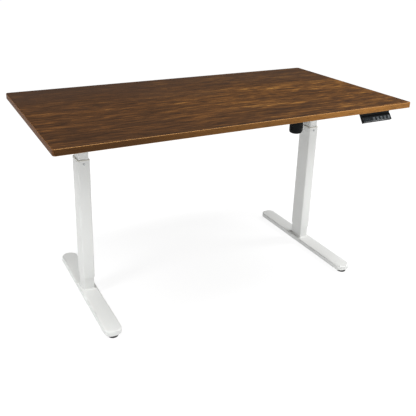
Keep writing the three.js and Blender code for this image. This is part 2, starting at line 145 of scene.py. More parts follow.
class Finish:
    """One material: a Principled shader, and short ways to build what feeds it."""

    def __init__(self, name, fixed):
        self.material = bpy.data.materials.new(name)
        self.material.use_nodes = True
        self.tree = self.material.node_tree
        self.shader = self.tree.nodes["Principled BSDF"]
        self.feed(fixed)

    def feed(self, sockets):
        """Sets or links sockets of the Principled shader."""
        for name, value in sockets.items():
            plug(self.tree, self.shader.inputs[name], value)

    def add(self, kind, settings, sockets, output=0):
        """Any node: its settings are set first, then the values or links of its sockets."""
        node = self.tree.nodes.new("ShaderNode" + kind)
        for name, value in settings.items():
            if name == "stops":
                fill_ramp(node.color_ramp, value)
            else:
                setattr(node, name, value)
        by_name = {s.name: s for s in reversed(node.inputs)}
        by_name.update(enumerate(node.inputs))
        by_name.update({s.identifier: s for s in node.inputs})
        for name, value in sockets.items():
            plug(self.tree, by_name[name], value)
        return Wire(self.tree, node.outputs[output])

    def place(self, stretch=(1, 1, 1), shift=(0, 0, 0)):
        """The piece's own coordinates in metres, stretched and shifted."""
        own = self.add("TexCoord", {}, {}, "Object")
        return self.add("Mapping", {}, {"Vector": own, "Scale": stretch, "Location": shift})

    def noise(self, where, scale, detail=3.0, roughness=0.5, distortion=0.0):
        sockets = {
            "Vector": where,
            "Scale": scale,
            "Detail": detail,
            "Roughness": roughness,
            "Distortion": distortion,
        }
        return self.add("TexNoise", {}, sockets)

    def ramp(self, value, stops):
        return self.add("ValToRGB", {"stops": stops}, {"Fac": value})

    def between(self, value, low, high, to_low=0.0, to_high=1.0):
        """Value carried smoothly from low..high to to_low..to_high."""
        sockets = {
            "Value": value,
            "From Min": low,
            "From Max": high,
            "To Min": to_low,
            "To Max": to_high,
        }
        return self.add("MapRange", {"interpolation_type": "SMOOTHSTEP"}, sockets)

    def mix(self, mask, first, second):
        """Colour first where mask is 0, second where it is 1."""
        sockets = {"Factor_Float": mask, "A_Color": first, "B_Color": second}
        return self.add("Mix", {"data_type": "RGBA"}, sockets, "Result")

    def bump(self, height, depth):
        """Height from 0 to 1 as relief of the given depth in metres."""
        sockets = {"Height": height, "Distance": depth}
        self.feed({"Normal": self.add("Bump", {}, sockets)})


def fill_ramp(ramp, stops):
    """Stops are (position, colour) pairs; a ramp starts with two of them."""
    for _ in stops[2:]:
        ramp.elements.new(1.0)
    for element, (position, colour) in zip(ramp.elements, stops):
        element.position = position
        element.color = colour


print("shader helpers ready")

# %% [markdown]
# ## Making meshes from rings
# Nearly every piece of this desk is a pressed, rolled, turned or moulded shape: one outline that is
# carried along an axis and pulled in or out on the way. So the main tool here lofts rings. A ring
# function gives an outline's points for an inset, and a profile lists (inset, height) steps. That gives
# true round corners and folded rims, which a scaled cube can't.

# %% Ring outlines
def arc(centre_x, centre_y, radius, start, steps):
    """Points of a quarter circle, from the start angle in quarter turns."""
    angles = [math.pi / 2 * (start + i / steps) for i in range(steps + 1)]
    return [(centre_x + radius * math.cos(a), centre_y + radius * math.sin(a)) for a in angles]


def oblong(width, depth, corner, steps=6):
    """A rounded rectangle about the origin."""
    def at(inset):
        radius = max(corner - inset, 0.05 * MM)
        x = width / 2 - inset - radius
        y = depth / 2 - inset - radius
        centres = [(x, y), (-x, y), (-x, -y), (x, -y)]
        return [p for i, (cx, cy) in enumerate(centres) for p in arc(cx, cy, radius, i, steps)]
    return at


def disc(radius, sides=32, flutes=0, flute_depth=0.0):
    """A circle about the origin, with flutes around it where they are asked for."""
    def at(inset):
        points = []
        for i in range(sides):
            angle = 2 * math.pi * i / sides
            reach = radius - inset - flute_depth * (0.5 - 0.5 * math.cos(flutes * angle))
            points.append((reach * math.cos(angle), reach * math.sin(angle)))
        return points
    return at


def hexagon(across_flats):
    """A hexagon about the origin, with a flat towards +X."""
    def at(inset):
        reach = (across_flats / 2 - inset) / math.cos(math.pi / 6)
        angles = [math.pi / 3 * (i + 0.5) for i in range(6)]
        return [(reach * math.cos(a), reach * math.sin(a)) for a in angles]
    return at


def rounded_edge(start, turn_z, radius, steps=4):
    """Profile steps over an outer arris. A last narrow ring keeps the end face's shading flat."""
    sign = 1 if start < turn_z else -1
    angles = [math.pi / 2 * i / steps for i in range(steps + 1)]
    centre = turn_z - sign * radius
    steps_over = [(radius * (1 - math.cos(a)), centre + sign * radius * math.sin(a)) for a in angles]
    return steps_over + [(radius + 0.6 * MM, turn_z)]


print("ring outlines ready")

# %% [markdown]
# ## From rings to pieces
# `loft` skins the rings. An open profile is closed with a cap at each end, and a tube's profile runs
# back to its start instead. `add_piece` then cleans the mesh, gives it its finish and its body, and
# hides the CAD nodes that it replaces.

# %% Lofts and pieces
def join_rings(bm, first, second):
    """Skins the band between two rings that have the same number of vertices."""
    for i in range(len(first)):
        j = (i + 1) % len(first)
        bm.faces.new((first[i], first[j], second[j], second[i]))


def loft(bm, ring, profile, hollow=False, matrix=Matrix.Identity(4)):
    """Adds a skin over the rings to bm."""
    loops = []
    for inset, height in profile:
        points = [matrix @ Vector((x, y, height)) for x, y in ring(inset)]
        loops.append([bm.verts.new(point) for point in points])
    pairs = list(zip(loops, loops[1:]))
    if hollow:
        pairs.append((loops[-1], loops[0]))
    else:
        bm.faces.new(loops[0])
        bm.faces.new(loops[-1])
    for first, second in pairs:
        join_rings(bm, first, second)
    return bm


def slab(bm, low, high):
    """Adds a plain block to bm, to be joined or softened with what is there."""
    middle = (Vector(low) + Vector(high)) / 2
    size = Vector(high) - Vector(low)
    place = Matrix.Translation(middle) @ Matrix.Diagonal((*size, 1))
    bmesh.ops.create_cube(bm, size=1, matrix=place)
    return bm


def soften(bm, width, segments=2, least=25):
    """Rounds every edge that turns by more than `least` degrees."""
    bm.normal_update()
    edges = [e for e in bm.edges if len(e.link_faces) == 2 and e.calc_face_angle(0) > math.radians(least)]
    bmesh.ops.bevel(
        bm, geom=edges, offset=width, segments=segments, profile=0.5,
        affect="EDGES", clamp_overlap=True,
    )
    return bm


PIECES = []
SHARP_ANGLE = math.radians(32)


def add_piece(name, bm, finish, body, nodes=()):
    """Makes the object, gives it its finish and hangs it on its CAD body."""
    bmesh.ops.remove_doubles(bm, verts=bm.verts, dist=1e-6)
    bmesh.ops.recalc_face_normals(bm, faces=bm.faces)
    mesh = bpy.data.meshes.new(name)
    bm.to_mesh(mesh)
    bm.free()
    mesh.shade_smooth()
    mesh.set_sharp_from_angle(angle=SHARP_ANGLE)
    mesh.materials.append(finish.material)
    piece = bpy.data.objects.new(name, mesh)
    bpy.context.scene.collection.objects.link(piece)
    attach(piece, body)
    if nodes:
        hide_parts(*nodes)
    PIECES.append(piece)
    return piece


def span(node):
    """A CAD node's middle, size, low corner and high corner."""
    low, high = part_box(node)
    return (low + high) / 2, high - low, low, high


def along_x(x=0.0, y=0.0, z=0.0):
    """A frame at that point whose Z axis runs along the desk's X."""
    return Matrix.Translation((x, y, z)) @ Matrix.Rotation(math.pi / 2, 4, "Y")


def at(x=0.0, y=0.0, z=0.0):
    return Matrix.Translation((x, y, z))


def facing_down(x, y, z):
    """A frame at that point whose Z axis points at the floor, for what is screwed in from below."""
    return at(x, y, z) @ Matrix.Rotation(math.pi, 4, "X")


print("piece helpers ready")

# %% [markdown]
# ## White powder coat
# Powder is sprayed dry and melted onto the steel. It flows into a slightly uneven skin, called orange
# peel, with cells of one or two millimetres, and it stays a little thin and glossy on sharp edges. A
# noise at that scale gives the relief, and a slower one varies the gloss and the whiteness a little.

# %% White powder coat
def powder_coat():
    finish = Finish("white_powder_coat", {"Coat Roughness": 0.4, "Specular IOR Level": 0.14})
    place = finish.place()
    peel = finish.noise(place, 620, 2)
    cloud = finish.noise(place, 9, 3)
    speck = finish.between(finish.noise(place, 260, 2), 0.74, 0.8)
    white = finish.mix(cloud, linear("#d6d7d5"), linear("#dcdddb"))
    finish.feed({
        "Base Color": finish.mix(speck * 0.25, white, linear("#aeada9")),
        "Roughness": 0.48 + cloud * 0.14,
        "Coat Weight": 0.02 + cloud * 0.03,
    })
    finish.bump(peel, 0.00006)
    return finish


powder = powder_coat()
print("finish", powder.material.name, len(powder.tree.nodes), "nodes")

# %% [markdown]
# ## Black mouldings
# The motor casing, the control box and the handset case are moulded in black plastic with a fine
# spark-eroded texture that scatters light. The handset's face and the sockets are polished instead,
# where only faint wiping marks and dust break the gloss.

# %% Black plastics
def textured_black():
    finish = Finish("black_plastic", {"Specular IOR Level": 0.08})
    place = finish.place()
    grain = finish.noise(place, 1500, 2, 0.6)
    cloud = finish.noise(place, 24, 3)
    finish.feed({
        "Base Color": finish.mix(cloud, linear("#0f1011"), linear("#161819")),
        "Roughness": 0.5 + grain * 0.16,
    })
    finish.bump(grain, 0.00005)
    return finish


def polished_black():
    finish = Finish("gloss_black_plastic", {"Coat Roughness": 0.05, "Specular IOR Level": 0.5})
    place = finish.place()
    wipes = finish.noise(finish.place((6, 60, 60)), 20, 3)
    dust = finish.between(finish.noise(place, 900, 2), 0.72, 0.8)
    finish.feed({
        "Base Color": finish.mix(dust * 0.12, linear("#202528"), linear("#8b8f90")),
        "Roughness": 0.1 + wipes * 0.12 + dust * 0.2,
        "Coat Weight": 0.5 - dust * 0.4,
    })
    finish.bump(wipes, 0.00001)
    return finish


black = textured_black()
gloss = polished_black()
print("finishes", black.material.name, gloss.material.name)

# %% [markdown]
# ## Keys and marks
# The keys are satin plastic, a shade lighter than the panel around them. The marks on them are a pale
# print with a faint painted glow of the same colour; no lamp shines behind them.

# %% Keys and marks
def satin_key():
    finish = Finish("button_plastic", {"Specular IOR Level": 0.5})
    place = finish.place()
    grain = finish.noise(place, 1800, 2)
    worn = finish.noise(place, 160, 2)
    finish.feed({
        "Base Color": finish.mix(worn, linear("#30363a"), linear("#3d4448")),
        "Roughness": 0.26 + grain * 0.14,
    })
    finish.bump(grain, 0.00002)
    return finish


def pale_print_with_painted_glow():
    # The faint emission in the print's own colour is a painted glow.
    finish = Finish("pale_print_with_painted_glow", {"Specular IOR Level": 0.3, "Emission Strength": 0.06})
    grain = finish.noise(finish.place(), 2400, 2)
    ink = finish.mix(grain, linear("#8f979b"), linear("#abb2b5"))
    finish.feed({"Base Color": ink, "Emission Color": ink, "Roughness": 0.45 + grain * 0.1})
    return finish


key_plastic = satin_key()
mark_print_and_glow = pale_print_with_painted_glow()
print("finishes", key_plastic.material.name, mark_print_and_glow.material.name)

# %% [markdown]
# ## Metals
# Zinc plating leaves steel bright, with a soft grey-blue cloudiness and fine drawing lines. The gearbox
# housings are die-cast aluminium, which comes out of the die matt and grainy. Both are full metals in
# the shader, so their look comes from roughness and relief more than from colour.

# %% Metals
def zinc_steel():
    finish = Finish("bright_steel", {"Metallic": 1.0, "Anisotropic": 0.3})
    place = finish.place()
    cloud = finish.noise(place, 55, 4)
    lines = finish.noise(finish.place((1, 1, 0.03)), 1200, 2)
    finish.feed({
        "Base Color": finish.mix(cloud, linear("#a9adb2"), linear("#c9cac6")),
        "Roughness": 0.22 + cloud * 0.18 + lines * 0.08,
    })
    finish.bump(lines, 0.00001)
    return finish


def die_cast():
    finish = Finish("cast_aluminium", {"Metallic": 1.0})
    place = finish.place()
    grain = finish.noise(place, 900, 3, 0.65)
    flow = finish.noise(place, 38, 3, 0.5, 0.8)
    finish.feed({
        "Base Color": finish.mix(flow, linear("#9b9d9f"), linear("#bfc0c0")),
        "Roughness": 0.42 + grain * 0.2,
    })
    finish.bump(grain, 0.00008)
    return finish


steel = zinc_steel()
casting = die_cast()
print("finishes", steel.material.name, casting.material.name)

# %% [markdown]
# ## Acetal, rubber and circuit board
# The nuts and guides are turned or moulded in natural acetal, a waxy white. The glide pads are moulded
# rubber, which picks up pale floor dust. The circuit board is green solder mask over copper tracks,
# which show as slightly lighter and raised lines; a brick pattern gives their right-angled runs.

# %% Acetal, rubber and circuit board
def natural_acetal():
    finish = Finish("white_acetal", {"Specular IOR Level": 0.45})
    tool = finish.noise(finish.place((1, 1, 8)), 260, 2)
    finish.feed({
        "Base Color": finish.mix(tool, linear("#dcd8cc"), linear("#ece9df")),
        "Roughness": 0.38 + tool * 0.14,
    })
    finish.bump(tool, 0.00002)
    return finish


def moulded_rubber():
    finish = Finish("glide_rubber", {"Specular IOR Level": 0.25})
    place = finish.place()
    grain = finish.noise(place, 1300, 3)
    dust = finish.between(finish.noise(place, 130, 4), 0.5, 0.75)
    finish.feed({
        "Base Color": finish.mix(dust * 0.35, linear("#1c1c1b"), linear("#6d6a64")),
        "Roughness": 0.72 + grain * 0.16,
    })
    finish.bump(grain, 0.00005)
    return finish


def solder_mask():
    finish = Finish("circuit_board", {"Specular IOR Level": 0.5})
    settings = {"offset": 0.37, "squash": 0.6, "squash_frequency": 3}
    sockets = {
        "Vector": finish.place(),
        "Scale": 90.0,
        "Mortar Size": 0.028,
        "Color1": (0, 0, 0, 1),
        "Color2": (0, 0, 0, 1),
        "Mortar": (1, 1, 1, 1),
    }
    tracks = finish.add("TexBrick", settings, sockets, "Fac")
    finish.feed({
        "Base Color": finish.mix(tracks, linear("#174a2b"), linear("#3c8a4f")),
        "Roughness": 0.3 + tracks * 0.12,
    })
    finish.bump(tracks, 0.00004)
    return finish


acetal = natural_acetal()
rubber = moulded_rubber()
mask_green = solder_mask()
print("finishes", acetal.material.name, rubber.material.name, mask_green.material.name)

# %% [markdown]
# ## Stained wood
# The board is glued from wide staves and stained walnut-brown. A saw cuts each stave flat through the
# tree's rings, so the rings show as long streaks that close into arches. The finish does the same: it
# works out how far each point lies from the tree's pith, and turns that distance into rings. Slower
# noises add the cloudy take-up of the stain, and fast, very long ones the fibres and open pores.
# The long edges have a colour of their own, lighter towards the right as painted light, and the rounded
# arrises carry a painted highlight.

# %% Wood: coordinates and rings
STAVE = 0.146
RING = 0.0068


def stave_rings(finish, y, z, luck):
    """0 to 1 over each growth ring, for a stave cut from its own part of the tree."""
    wander = finish.noise(finish.place((1.5, 7, 7)), 1.0, 3) - 0.5
    drift = finish.noise(finish.place((0.9, 1.6, 1.6)), 1.9, 2) - 0.5
    across = y.do("PINGPONG", STAVE / 2) - STAVE / 4 + (luck - 0.5) * 0.05 + wander * 0.05
    deep = z - 0.69 + luck * 0.05 + drift * 0.11
    distance = (across * across + deep * deep) ** 0.5
    wobble = finish.noise(finish.place((9, 60, 60)), 1.0, 2) * 0.004
    turn = (distance + wobble) / RING
    return turn.do("FRACT")


def wood_tone(finish, y, z):
    """Wires that the board's colour and relief share."""
    stave = (y / STAVE + 0.31).do("FLOOR")
    luck = finish.add("TexWhiteNoise", {"noise_dimensions": "1D"}, {"W": stave}, "Value")
    ring = stave_rings(finish, y, z, luck)
    late = finish.between(ring, 0.45, 0.95) * (1 - finish.between(ring, 0.95, 1.0))
    band = finish.noise(finish.place((1.9, 19, 19), (0.4, 0.3, 0.1)), 1.0, 5, 0.62, 0.35)
    fleck = finish.noise(finish.place((13, 105, 105), (0.2, 0.9, 0)), 1.0, 4, 0.6, 0.5)
    fibre = finish.noise(finish.place((11, 330, 330)), 1.0, 4, 0.6)
    pore = finish.between(finish.noise(finish.place((38, 820, 820)), 1.0, 2), 0.56, 0.68)
    blotch = finish.noise(finish.place((1.3, 2.4, 2.4), (0.7, 0.2, 0)), 1.6, 4, 0.55)
    return {
        "luck": luck,
        "late": late,
        "band": band,
        "fleck": fleck,
        "fibre": fibre,
        "pore": pore,
        "blotch": blotch,
    }


print("wood helpers ready: staves", STAVE, "m, rings", RING, "m")

# %% [markdown]
# The colour is a chain of mixes: the stain's streaks, the rings, painted light that brightens the board
# towards the right, a darkening towards the back, the knots, and last the edges and the end grain.

# %% Wood: colour and finish
KNOTS = [(0.262, -0.262, 0.016), (-0.05, -0.05, 0.011), (0.5, 0.12, 0.009)]


def knot_mask(finish, x, y):
    """Dark where a branch ran through the board, drawn out along the grain."""
    total = 0.0
    for knot_x, knot_y, size in KNOTS:
        away = ((x - knot_x) * 0.45) ** 2.0 + (y - knot_y) ** 2.0
        total = total + finish.between(away ** 0.5, size * 0.2, size * 1.7, 1.0, 0.0)
    return total.do("MINIMUM", 1.0)


def stained_wood():
    finish = Finish("stained_wood", {"Specular IOR Level": 0.1, "Coat Roughness": 0.4})
    own = finish.add("TexCoord", {}, {}, "Object")
    x, y, z = (finish.add("SeparateXYZ", {}, {"Vector": own}, axis) for axis in "XYZ")
    facing = finish.add("NewGeometry", {}, {}, "Normal")
    face_x, face_z = (
        finish.add("SeparateXYZ", {}, {"Vector": facing}, axis).do("ABSOLUTE") for axis in "XZ"
    )
    tone = wood_tone(finish, y, z)
    streak = (tone["band"] - 0.5) * 0.9 + (tone["fleck"] - 0.5) * 1.5 + (tone["fibre"] - 0.5) * 0.7
    streak = streak + (tone["luck"] - 0.5) * 0.12 + 0.46
    # Painted light: the same wood ramp twice, this lit copy for the right and the shaded copy below it for
    # the left.
    lit_wood_ramp = finish.ramp(streak, [
        (0.12, linear("#24140a")),
        (0.38, linear("#3f270f")),
        (0.6, linear("#5a3917")),
        (0.88, linear("#86602c")),
    ])
    brown = finish.ramp(streak, [
        (0.12, linear("#1e1107")),
        (0.42, linear("#36210f")),
        (0.66, linear("#4a2e14")),
        (0.92, linear("#6a4823")),
    ])
    # Painted light: the top runs from the shaded copy at the left to the lit copy at the right.
    light_from_right = finish.between(x + (tone["blotch"] - 0.5) * 0.9, -0.45, 0.55)
    top = finish.mix(light_from_right, brown, lit_wood_ramp)
    top = finish.mix(tone["late"] * 0.55, top, linear("#2a1a0d"))
    to_back = finish.between(y + (tone["blotch"] - 0.5) * 0.5, -0.05, 0.36) * 0.74
    top = finish.mix(to_back, top, linear("#2e2119"))
    top = finish.mix(knot_mask(finish, x, y) * 0.6, top, linear("#20130a"))

    # Painted light on the long edges as well: dark brown at the left, bright orange-brown at the right.
    edge_light_from_right = finish.between(x + (tone["blotch"] - 0.5) * 0.7, -0.6, 0.62)
    edge = finish.mix(edge_light_from_right, linear("#472c10"), linear("#94642c"))
    edge = finish.mix(finish.between(tone["fleck"], 0.52, 0.72) * 0.55, edge, linear("#4e3011"))
    edge = finish.mix(finish.between(tone["band"], 0.5, 0.75) * 0.6, edge, linear("#5d3b16"))
    # Painted highlight: where the normal turns from flat to upright over the arris, the colour is a light
    # brown.
    arris = finish.between(face_z, 0.1, 0.45) * (1 - finish.between(face_z, 0.8, 0.98))
    edge = finish.mix(arris * 0.6, edge, linear("#b98a52"))
    end = finish.mix(tone["late"] * 0.6, linear("#5c3a1c"), linear("#361f0c"))
    edge = finish.mix(finish.between(face_x, 0.5, 0.8), edge, end)
    wood = finish.mix(finish.between(face_z, 0.62, 0.93), edge, top)
    wood = finish.mix(tone["pore"] * 0.5, wood, linear("#1e1208"))
    finish.feed({
        "Base Color": wood,
        "Roughness": 0.46 + tone["fibre"] * 0.16 + tone["pore"] * 0.15,
        "Coat Weight": 0.02 + tone["late"] * 0.03,
    })
    relief = tone["fibre"] * 0.5 + tone["late"] * 0.3 - tone["pore"] * 0.8
    finish.bump(relief, 0.00012)
    return finish


wood = stained_wood()
print("finish", wood.material.name, len(wood.tree.nodes), "nodes")

# %% [markdown]
# ## Floor and light
# The desk stands on a plain white floor in a white studio. One softbox straight above would leave the feet
# in the board's shadow, so two stand high at the sides, past the board's ends, and a wide one high at the
# front reaches under the board. A smaller one at the right front gives the columns their shape, and a
# weak one fills in from the left. The floor glows just at white instead of reflecting much: a floor
# brighter than white would eat into the outline of everything that stands on it. The world behind looks
# white but casts little light, because a bright horizon would lie on the satin board as a grey veil.

# %% Floor and light
def studio_floor():
    finish = Finish("studio_floor", {"Specular IOR Level": 0.1, "Emission Strength": 1.0})
    place = finish.place()
    haze = finish.noise(place, 0.6, 2)
    away = finish.add("VectorMath", {"operation": "LENGTH"}, {0: place}, "Value")
    glow = finish.ramp(away / 8.0, [(0.0, (0.88, 0.88, 0.88, 1)), (1.0, (1.0, 1.0, 1.0, 1))])
    finish.feed({
        "Base Color": finish.mix(haze, linear("#6a6a6a"), linear("#707070")),
        "Roughness": 0.7 + haze * 0.1,
        "Emission Color": glow,
    })
    bm = bmesh.new()
    bmesh.ops.create_circle(bm, cap_ends=True, segments=96, radius=40)
    mesh = bpy.data.meshes.new("studio_floor")
    bm.to_mesh(mesh)
    bm.free()
    mesh.materials.append(finish.material)
    floor = bpy.data.objects.new("studio_floor", mesh)
    bpy.context.scene.collection.objects.link(floor)


def softbox(name, place, target, size, watts):
    light = bpy.data.lights.new(name, "AREA")
    light.shape = "RECTANGLE"
    light.size, light.size_y = size
    light.energy = watts
    lamp = bpy.data.objects.new(name, light)
    lamp.location = place
    lamp.rotation_euler = (Vector(target) - Vector(place)).to_track_quat("-Z", "Y").to_euler()
    bpy.context.scene.collection.objects.link(lamp)


def studio_world(seen, cast):
    """A backdrop as bright as `seen` that lights the desk only as much as `cast`."""
    world = bpy.data.worlds.new("studio_world")
    world.use_nodes = True
    tree = world.node_tree
    dim = tree.nodes["Background"]
    bright = tree.nodes.new("ShaderNodeBackground")
    for background, strength in ((dim, cast), (bright, seen)):
        background.inputs["Color"].default_value = (1, 1, 1, 1)
        background.inputs["Strength"].default_value = strength
    path = tree.nodes.new("ShaderNodeLightPath")
    either = tree.nodes.new("ShaderNodeMixShader")
    tree.links.new(path.outputs["Is Camera Ray"], either.inputs["Fac"])
    tree.links.new(dim.outputs[0], either.inputs[1])
    tree.links.new(bright.outputs[0], either.inputs[2])
    tree.links.new(either.outputs[0], tree.nodes["World Output"].inputs["Surface"])
    bpy.context.scene.world = world


studio_floor()
studio_world(seen=1.0, cast=0.12)
softbox("left_wing", (-1.75, -0.4, 3.3), (-0.5, 0, 0), (0.7, 3.0), 140)
softbox("right_wing", (1.75, -0.4, 3.3), (0.5, 0, 0), (0.7, 3.0), 136)
softbox("front_softbox", (0, -3.0, 3.3), (0, 0, 0.2), (3.2, 1.4), 58)
softbox("key_softbox", (2.6, -2.6, 1.5), (0.5, 0, 0.5), (1.2, 1.2), 42)
softbox("left_fill", (-3.4, -1.0, 0.9), (-0.5, 0, 0.4), (1.2, 1.2), 13)
bpy.context.scene.view_settings.view_transform = "Standard"

# %% [markdown]
# ## The board
# One rounded rectangle, 22 mm thick, with its arrises rounded over by a router. It is lofted: the lower
# arris, the edge and the upper arris are rings of one profile, so that the radius runs evenly round the
# corners and catches one clean line of light.

# %% Board
def add_board():
    _, size, low, high = span("desktop")
    arris = 2 * MM
    profile = rounded_edge(high.z, low.z, arris)[::-1] + rounded_edge(low.z, high.z, arris)
    bm = loft(bmesh.new(), oblong(size.x, size.y, 10 * MM, 10), profile)
    add_piece("board", bm, wood, "lift", ["desktop"])
    print("board", [round(value, 3) for value in size])


add_board()

# %% [markdown]
# ## Feet
# Each foot is pressed from one sheet of steel: a shallow tray, upside down, with round ends. The profile
# runs down the outside, turns under the folded rim and goes back up inside, so the underside shows the
# real hollow. Inside it sit the two threaded bosses for the levelling glides, each on a weld.

# %% Foot pressing
SHEET = 2.5 * MM
FOOT_CORNER, FOOT_EDGE = 28 * MM, 5 * MM
BOSS_RADIUS = 9 * MM


def foot_profile(low, high, edge):
    outside = rounded_edge(low.z, high.z, edge, 6)[::-1]
    rim = [(0, low.z + 0.5 * MM), (0.5 * MM, low.z), (SHEET - 0.5 * MM, low.z), (SHEET, low.z + 0.5 * MM)]
    roof = high.z - SHEET
    inside = [(SHEET + inset, z) for inset, z in rounded_edge(low.z, roof, edge - SHEET, 4)]
    return outside + rim + inside


def add_foot(side):
    middle, size, low, high = span(f"{side}_foot")
    bm = loft(
        bmesh.new(),
        oblong(size.x, size.y, FOOT_CORNER, 10),
        foot_profile(low, high, FOOT_EDGE),
        matrix=at(middle.x, middle.y),
    )
    add_piece(f"{side}_foot_pressing", bm, powder, "base", [f"{side}_foot"])


def add_bosses(side):
    """Threaded bosses under the foot's roof, with the weld round each."""
    _, _, _, high = span(f"{side}_foot")
    roof = high.z - SHEET
    bm = bmesh.new()
    for end in ENDS:
        pad, _, _, _ = span(f"{side}_{end}_glide_pad")
        bore = [(4.6 * MM, roof - 10 * MM), (4.6 * MM, roof - 2 * MM)]
        wall = [(0, roof - 1 * MM), (0, roof - 9.4 * MM), (0.6 * MM, roof - 10 * MM)]
        loft(bm, disc(BOSS_RADIUS, 32), wall + bore, matrix=at(pad.x, pad.y))
        weld = [(-2 * MM, roof), (-1.6 * MM, roof - 1.3 * MM), (0.1 * MM, roof - 2.2 * MM), (0.4 * MM, roof)]
        loft(bm, disc(BOSS_RADIUS, 48, 16, 0.5 * MM), weld, hollow=True, matrix=at(pad.x, pad.y))
    add_piece(f"{side}_glide_bosses", bm, powder, "base")


for side in SIDES:
    add_foot(side)
    add_bosses(side)
print("feet", [round(value, 3) for value in span("left_foot")[1]])

# %% [markdown]
# ## Screw threads
# A thread is one ridge that winds up a rod. Its surface is a grid of points whose radius depends on the
# height minus the turn: the same fraction of the pitch is a crest everywhere, which draws the helix
# without any boolean. The lifting spindles use it with their real 8 mm lead, and so do the glide studs.

# %% Threaded rods
def thread_radius(phase, radius, depth):
    """A trapezoid thread: crest, flank, root, flank over one pitch."""
    ramp = min(max(abs(phase - 0.5) * 4 - 0.5, 0), 1)
    return radius - depth * ramp


def threaded_rod(bm, radius, depth, pitch, low, high, matrix, sides=20, steps=8):
    rows = max(int((high - low) / pitch * steps), 2)
    loops = []
    for row in range(rows + 1):
        z = low + (high - low) * row / rows
        ends = min(row, rows - row) == 0
        loop = []
        for i in range(sides):
            share = i / sides
            reach = radius - depth if ends else thread_radius((z / pitch - share) % 1.0, radius, depth)
            angle = 2 * math.pi * share
            point = matrix @ Vector((reach * math.cos(angle), reach * math.sin(angle), z))
            loop.append(bm.verts.new(point))
        loops.append(loop)
    for first, second in zip(loops, loops[1:]):
        join_rings(bm, first, second)
    bm.faces.new(loops[0])
    bm.faces.new(loops[-1])
    return bm


print("threads ready")

# %% [markdown]
# ## Levelling glides
# A moulded rubber pad on a threaded steel stud, four of them. The pad is wider at the floor and has grip
# flutes round its rim, so that fingers can turn it; the hexagon above takes a spanner. Pad and stud are
# two pieces, as they are when the glide comes apart, and both turn with the glide's own joint.

# %% Glides
def add_glide(side, end):
    name = f"{side}_{end}_glide"
    middle, size, _, high = span(f"{name}_pad")
    place = at(middle.x, middle.y)
    radius = size.x / 2
    profile = [
        (3 * MM, 0), (1.2 * MM, 0), (0.4 * MM, 0.7 * MM), (0, 2 * MM), (0, 3.6 * MM), (0.9 * MM, 4.6 * MM),
        (1.4 * MM, 6.4 * MM), (2.2 * MM, 7.5 * MM), (3.6 * MM, high.z), (9 * MM, high.z),
    ]
    bm = loft(bmesh.new(), disc(radius, 96, 24, 0.7 * MM), profile, matrix=place)
    add_piece(f"{name}_rubber", bm, rubber, name, [f"{name}_pad"])

    _, _, _, top = span(f"{name}_stud")
    nut_low, nut_high = high.z + 0.2 * MM, 11.6 * MM
    bm = loft(bmesh.new(), hexagon(13 * MM), [
        (0.7 * MM, nut_low), (0, nut_low + 0.4 * MM), (0, nut_high - 0.4 * MM), (0.7 * MM, nut_high),
    ], matrix=place)
    threaded_rod(bm, 4 * MM, 0.6 * MM, 1.25 * MM, nut_high - 0.2 * MM, top.z, place, 20, 6)
    add_piece(f"{name}_stud_steel", bm, steel, name, [f"{name}_stud"])


for side in SIDES:
    for end in ENDS:
        add_glide(side, end)
print("glides", len(SIDES) * len(ENDS))

# %% [markdown]
# ## Welds
# The stub is welded to the foot and the outer tube to the stub. A weld bead is a fillet with ripples, one
# for each time the pool froze. The bead here follows the tube's outline in steps of one millimetre and
# swells in a regular ripple, which reads as a weld even at this size, and the powder coat covers it.

# %% Weld beads
def outline_walk(width, depth, corner, pitch):
    """Evenly spaced points round a rounded rectangle, with the outward direction at each."""
    ring = [Vector(point) for point in oblong(width, depth, corner)(0)]
    sides = list(zip(ring, ring[1:] + ring[:1]))
    length = sum((b - a).length for a, b in sides)
    count = int(length / pitch)
    walk, travelled, want = [], 0.0, 0.0
    for a, b in sides:
        step = (b - a).length
        while want <= travelled + step and len(walk) < count and step > 0:
            out = Vector(((b - a).y, -(b - a).x)).normalized()
            walk.append((a.lerp(b, (want - travelled) / step), out))
            want += length / count
        travelled += step
    return walk


def weld_bead(bm, width, depth, corner, size, base_z, up, matrix):
    """A rippled fillet from the wall out along a flat, at base_z, growing upwards or downwards."""
    walk = outline_walk(width, depth, corner, 1.0 * MM)
    section = [(-0.3, 0.0), (1.0, 0.0), (0.78, 0.5), (0.34, 0.86), (-0.3, 1.0)]
    loops = []
    for i, (point, out) in enumerate(walk):
        swell = size * (0.86 + 0.14 * abs(math.sin(i * math.pi / 2.6)))
        loop = []
        for reach, rise in section:
            spot = point + out * reach * swell
            loop.append(bm.verts.new(matrix @ Vector((spot.x, spot.y, base_z + up * rise * swell))))
        loops.append(loop)
    for first, second in zip(loops, loops[1:] + loops[:1]):
        join_rings(bm, first, second)
    return bm


print("weld beads ready")

# %% [markdown]
# ## Columns
# Three lengths of rectangular tube, one inside the other: the stub, welded to the foot, the outer tube
# around it, and the inner tube, which slides up with the board. Each tube is a profile that runs up the
# outside and down the inside, with the sawn rims broken by a file. The inner tube rides on the lift body
# and all the rest on the base, so that the desk opens between them as the real one does.

# %% Column tubes
OUTER_CORNER, INNER_CORNER, STUB_CORNER = 5 * MM, 4 * MM, 3 * MM
TUBE_WALL = 2 * MM


def tube_profile(low_z, high_z, wall):
    broken = 0.4 * MM
    return [
        (0, low_z + broken), (0, high_z - broken), (broken, high_z), (wall - broken, high_z),
        (wall, high_z - broken), (wall, low_z + broken), (wall - broken, low_z), (broken, low_z),
    ]


def add_tube(name, node, corner, wall, body):
    middle, size, low, high = span(node)
    profile = tube_profile(low.z, high.z, wall)
    ring = oblong(size.x, size.y, corner, 8)
    bm = loft(bmesh.new(), ring, profile, hollow=True, matrix=at(middle.x, middle.y))
    return add_piece(name, bm, powder, body, [node])


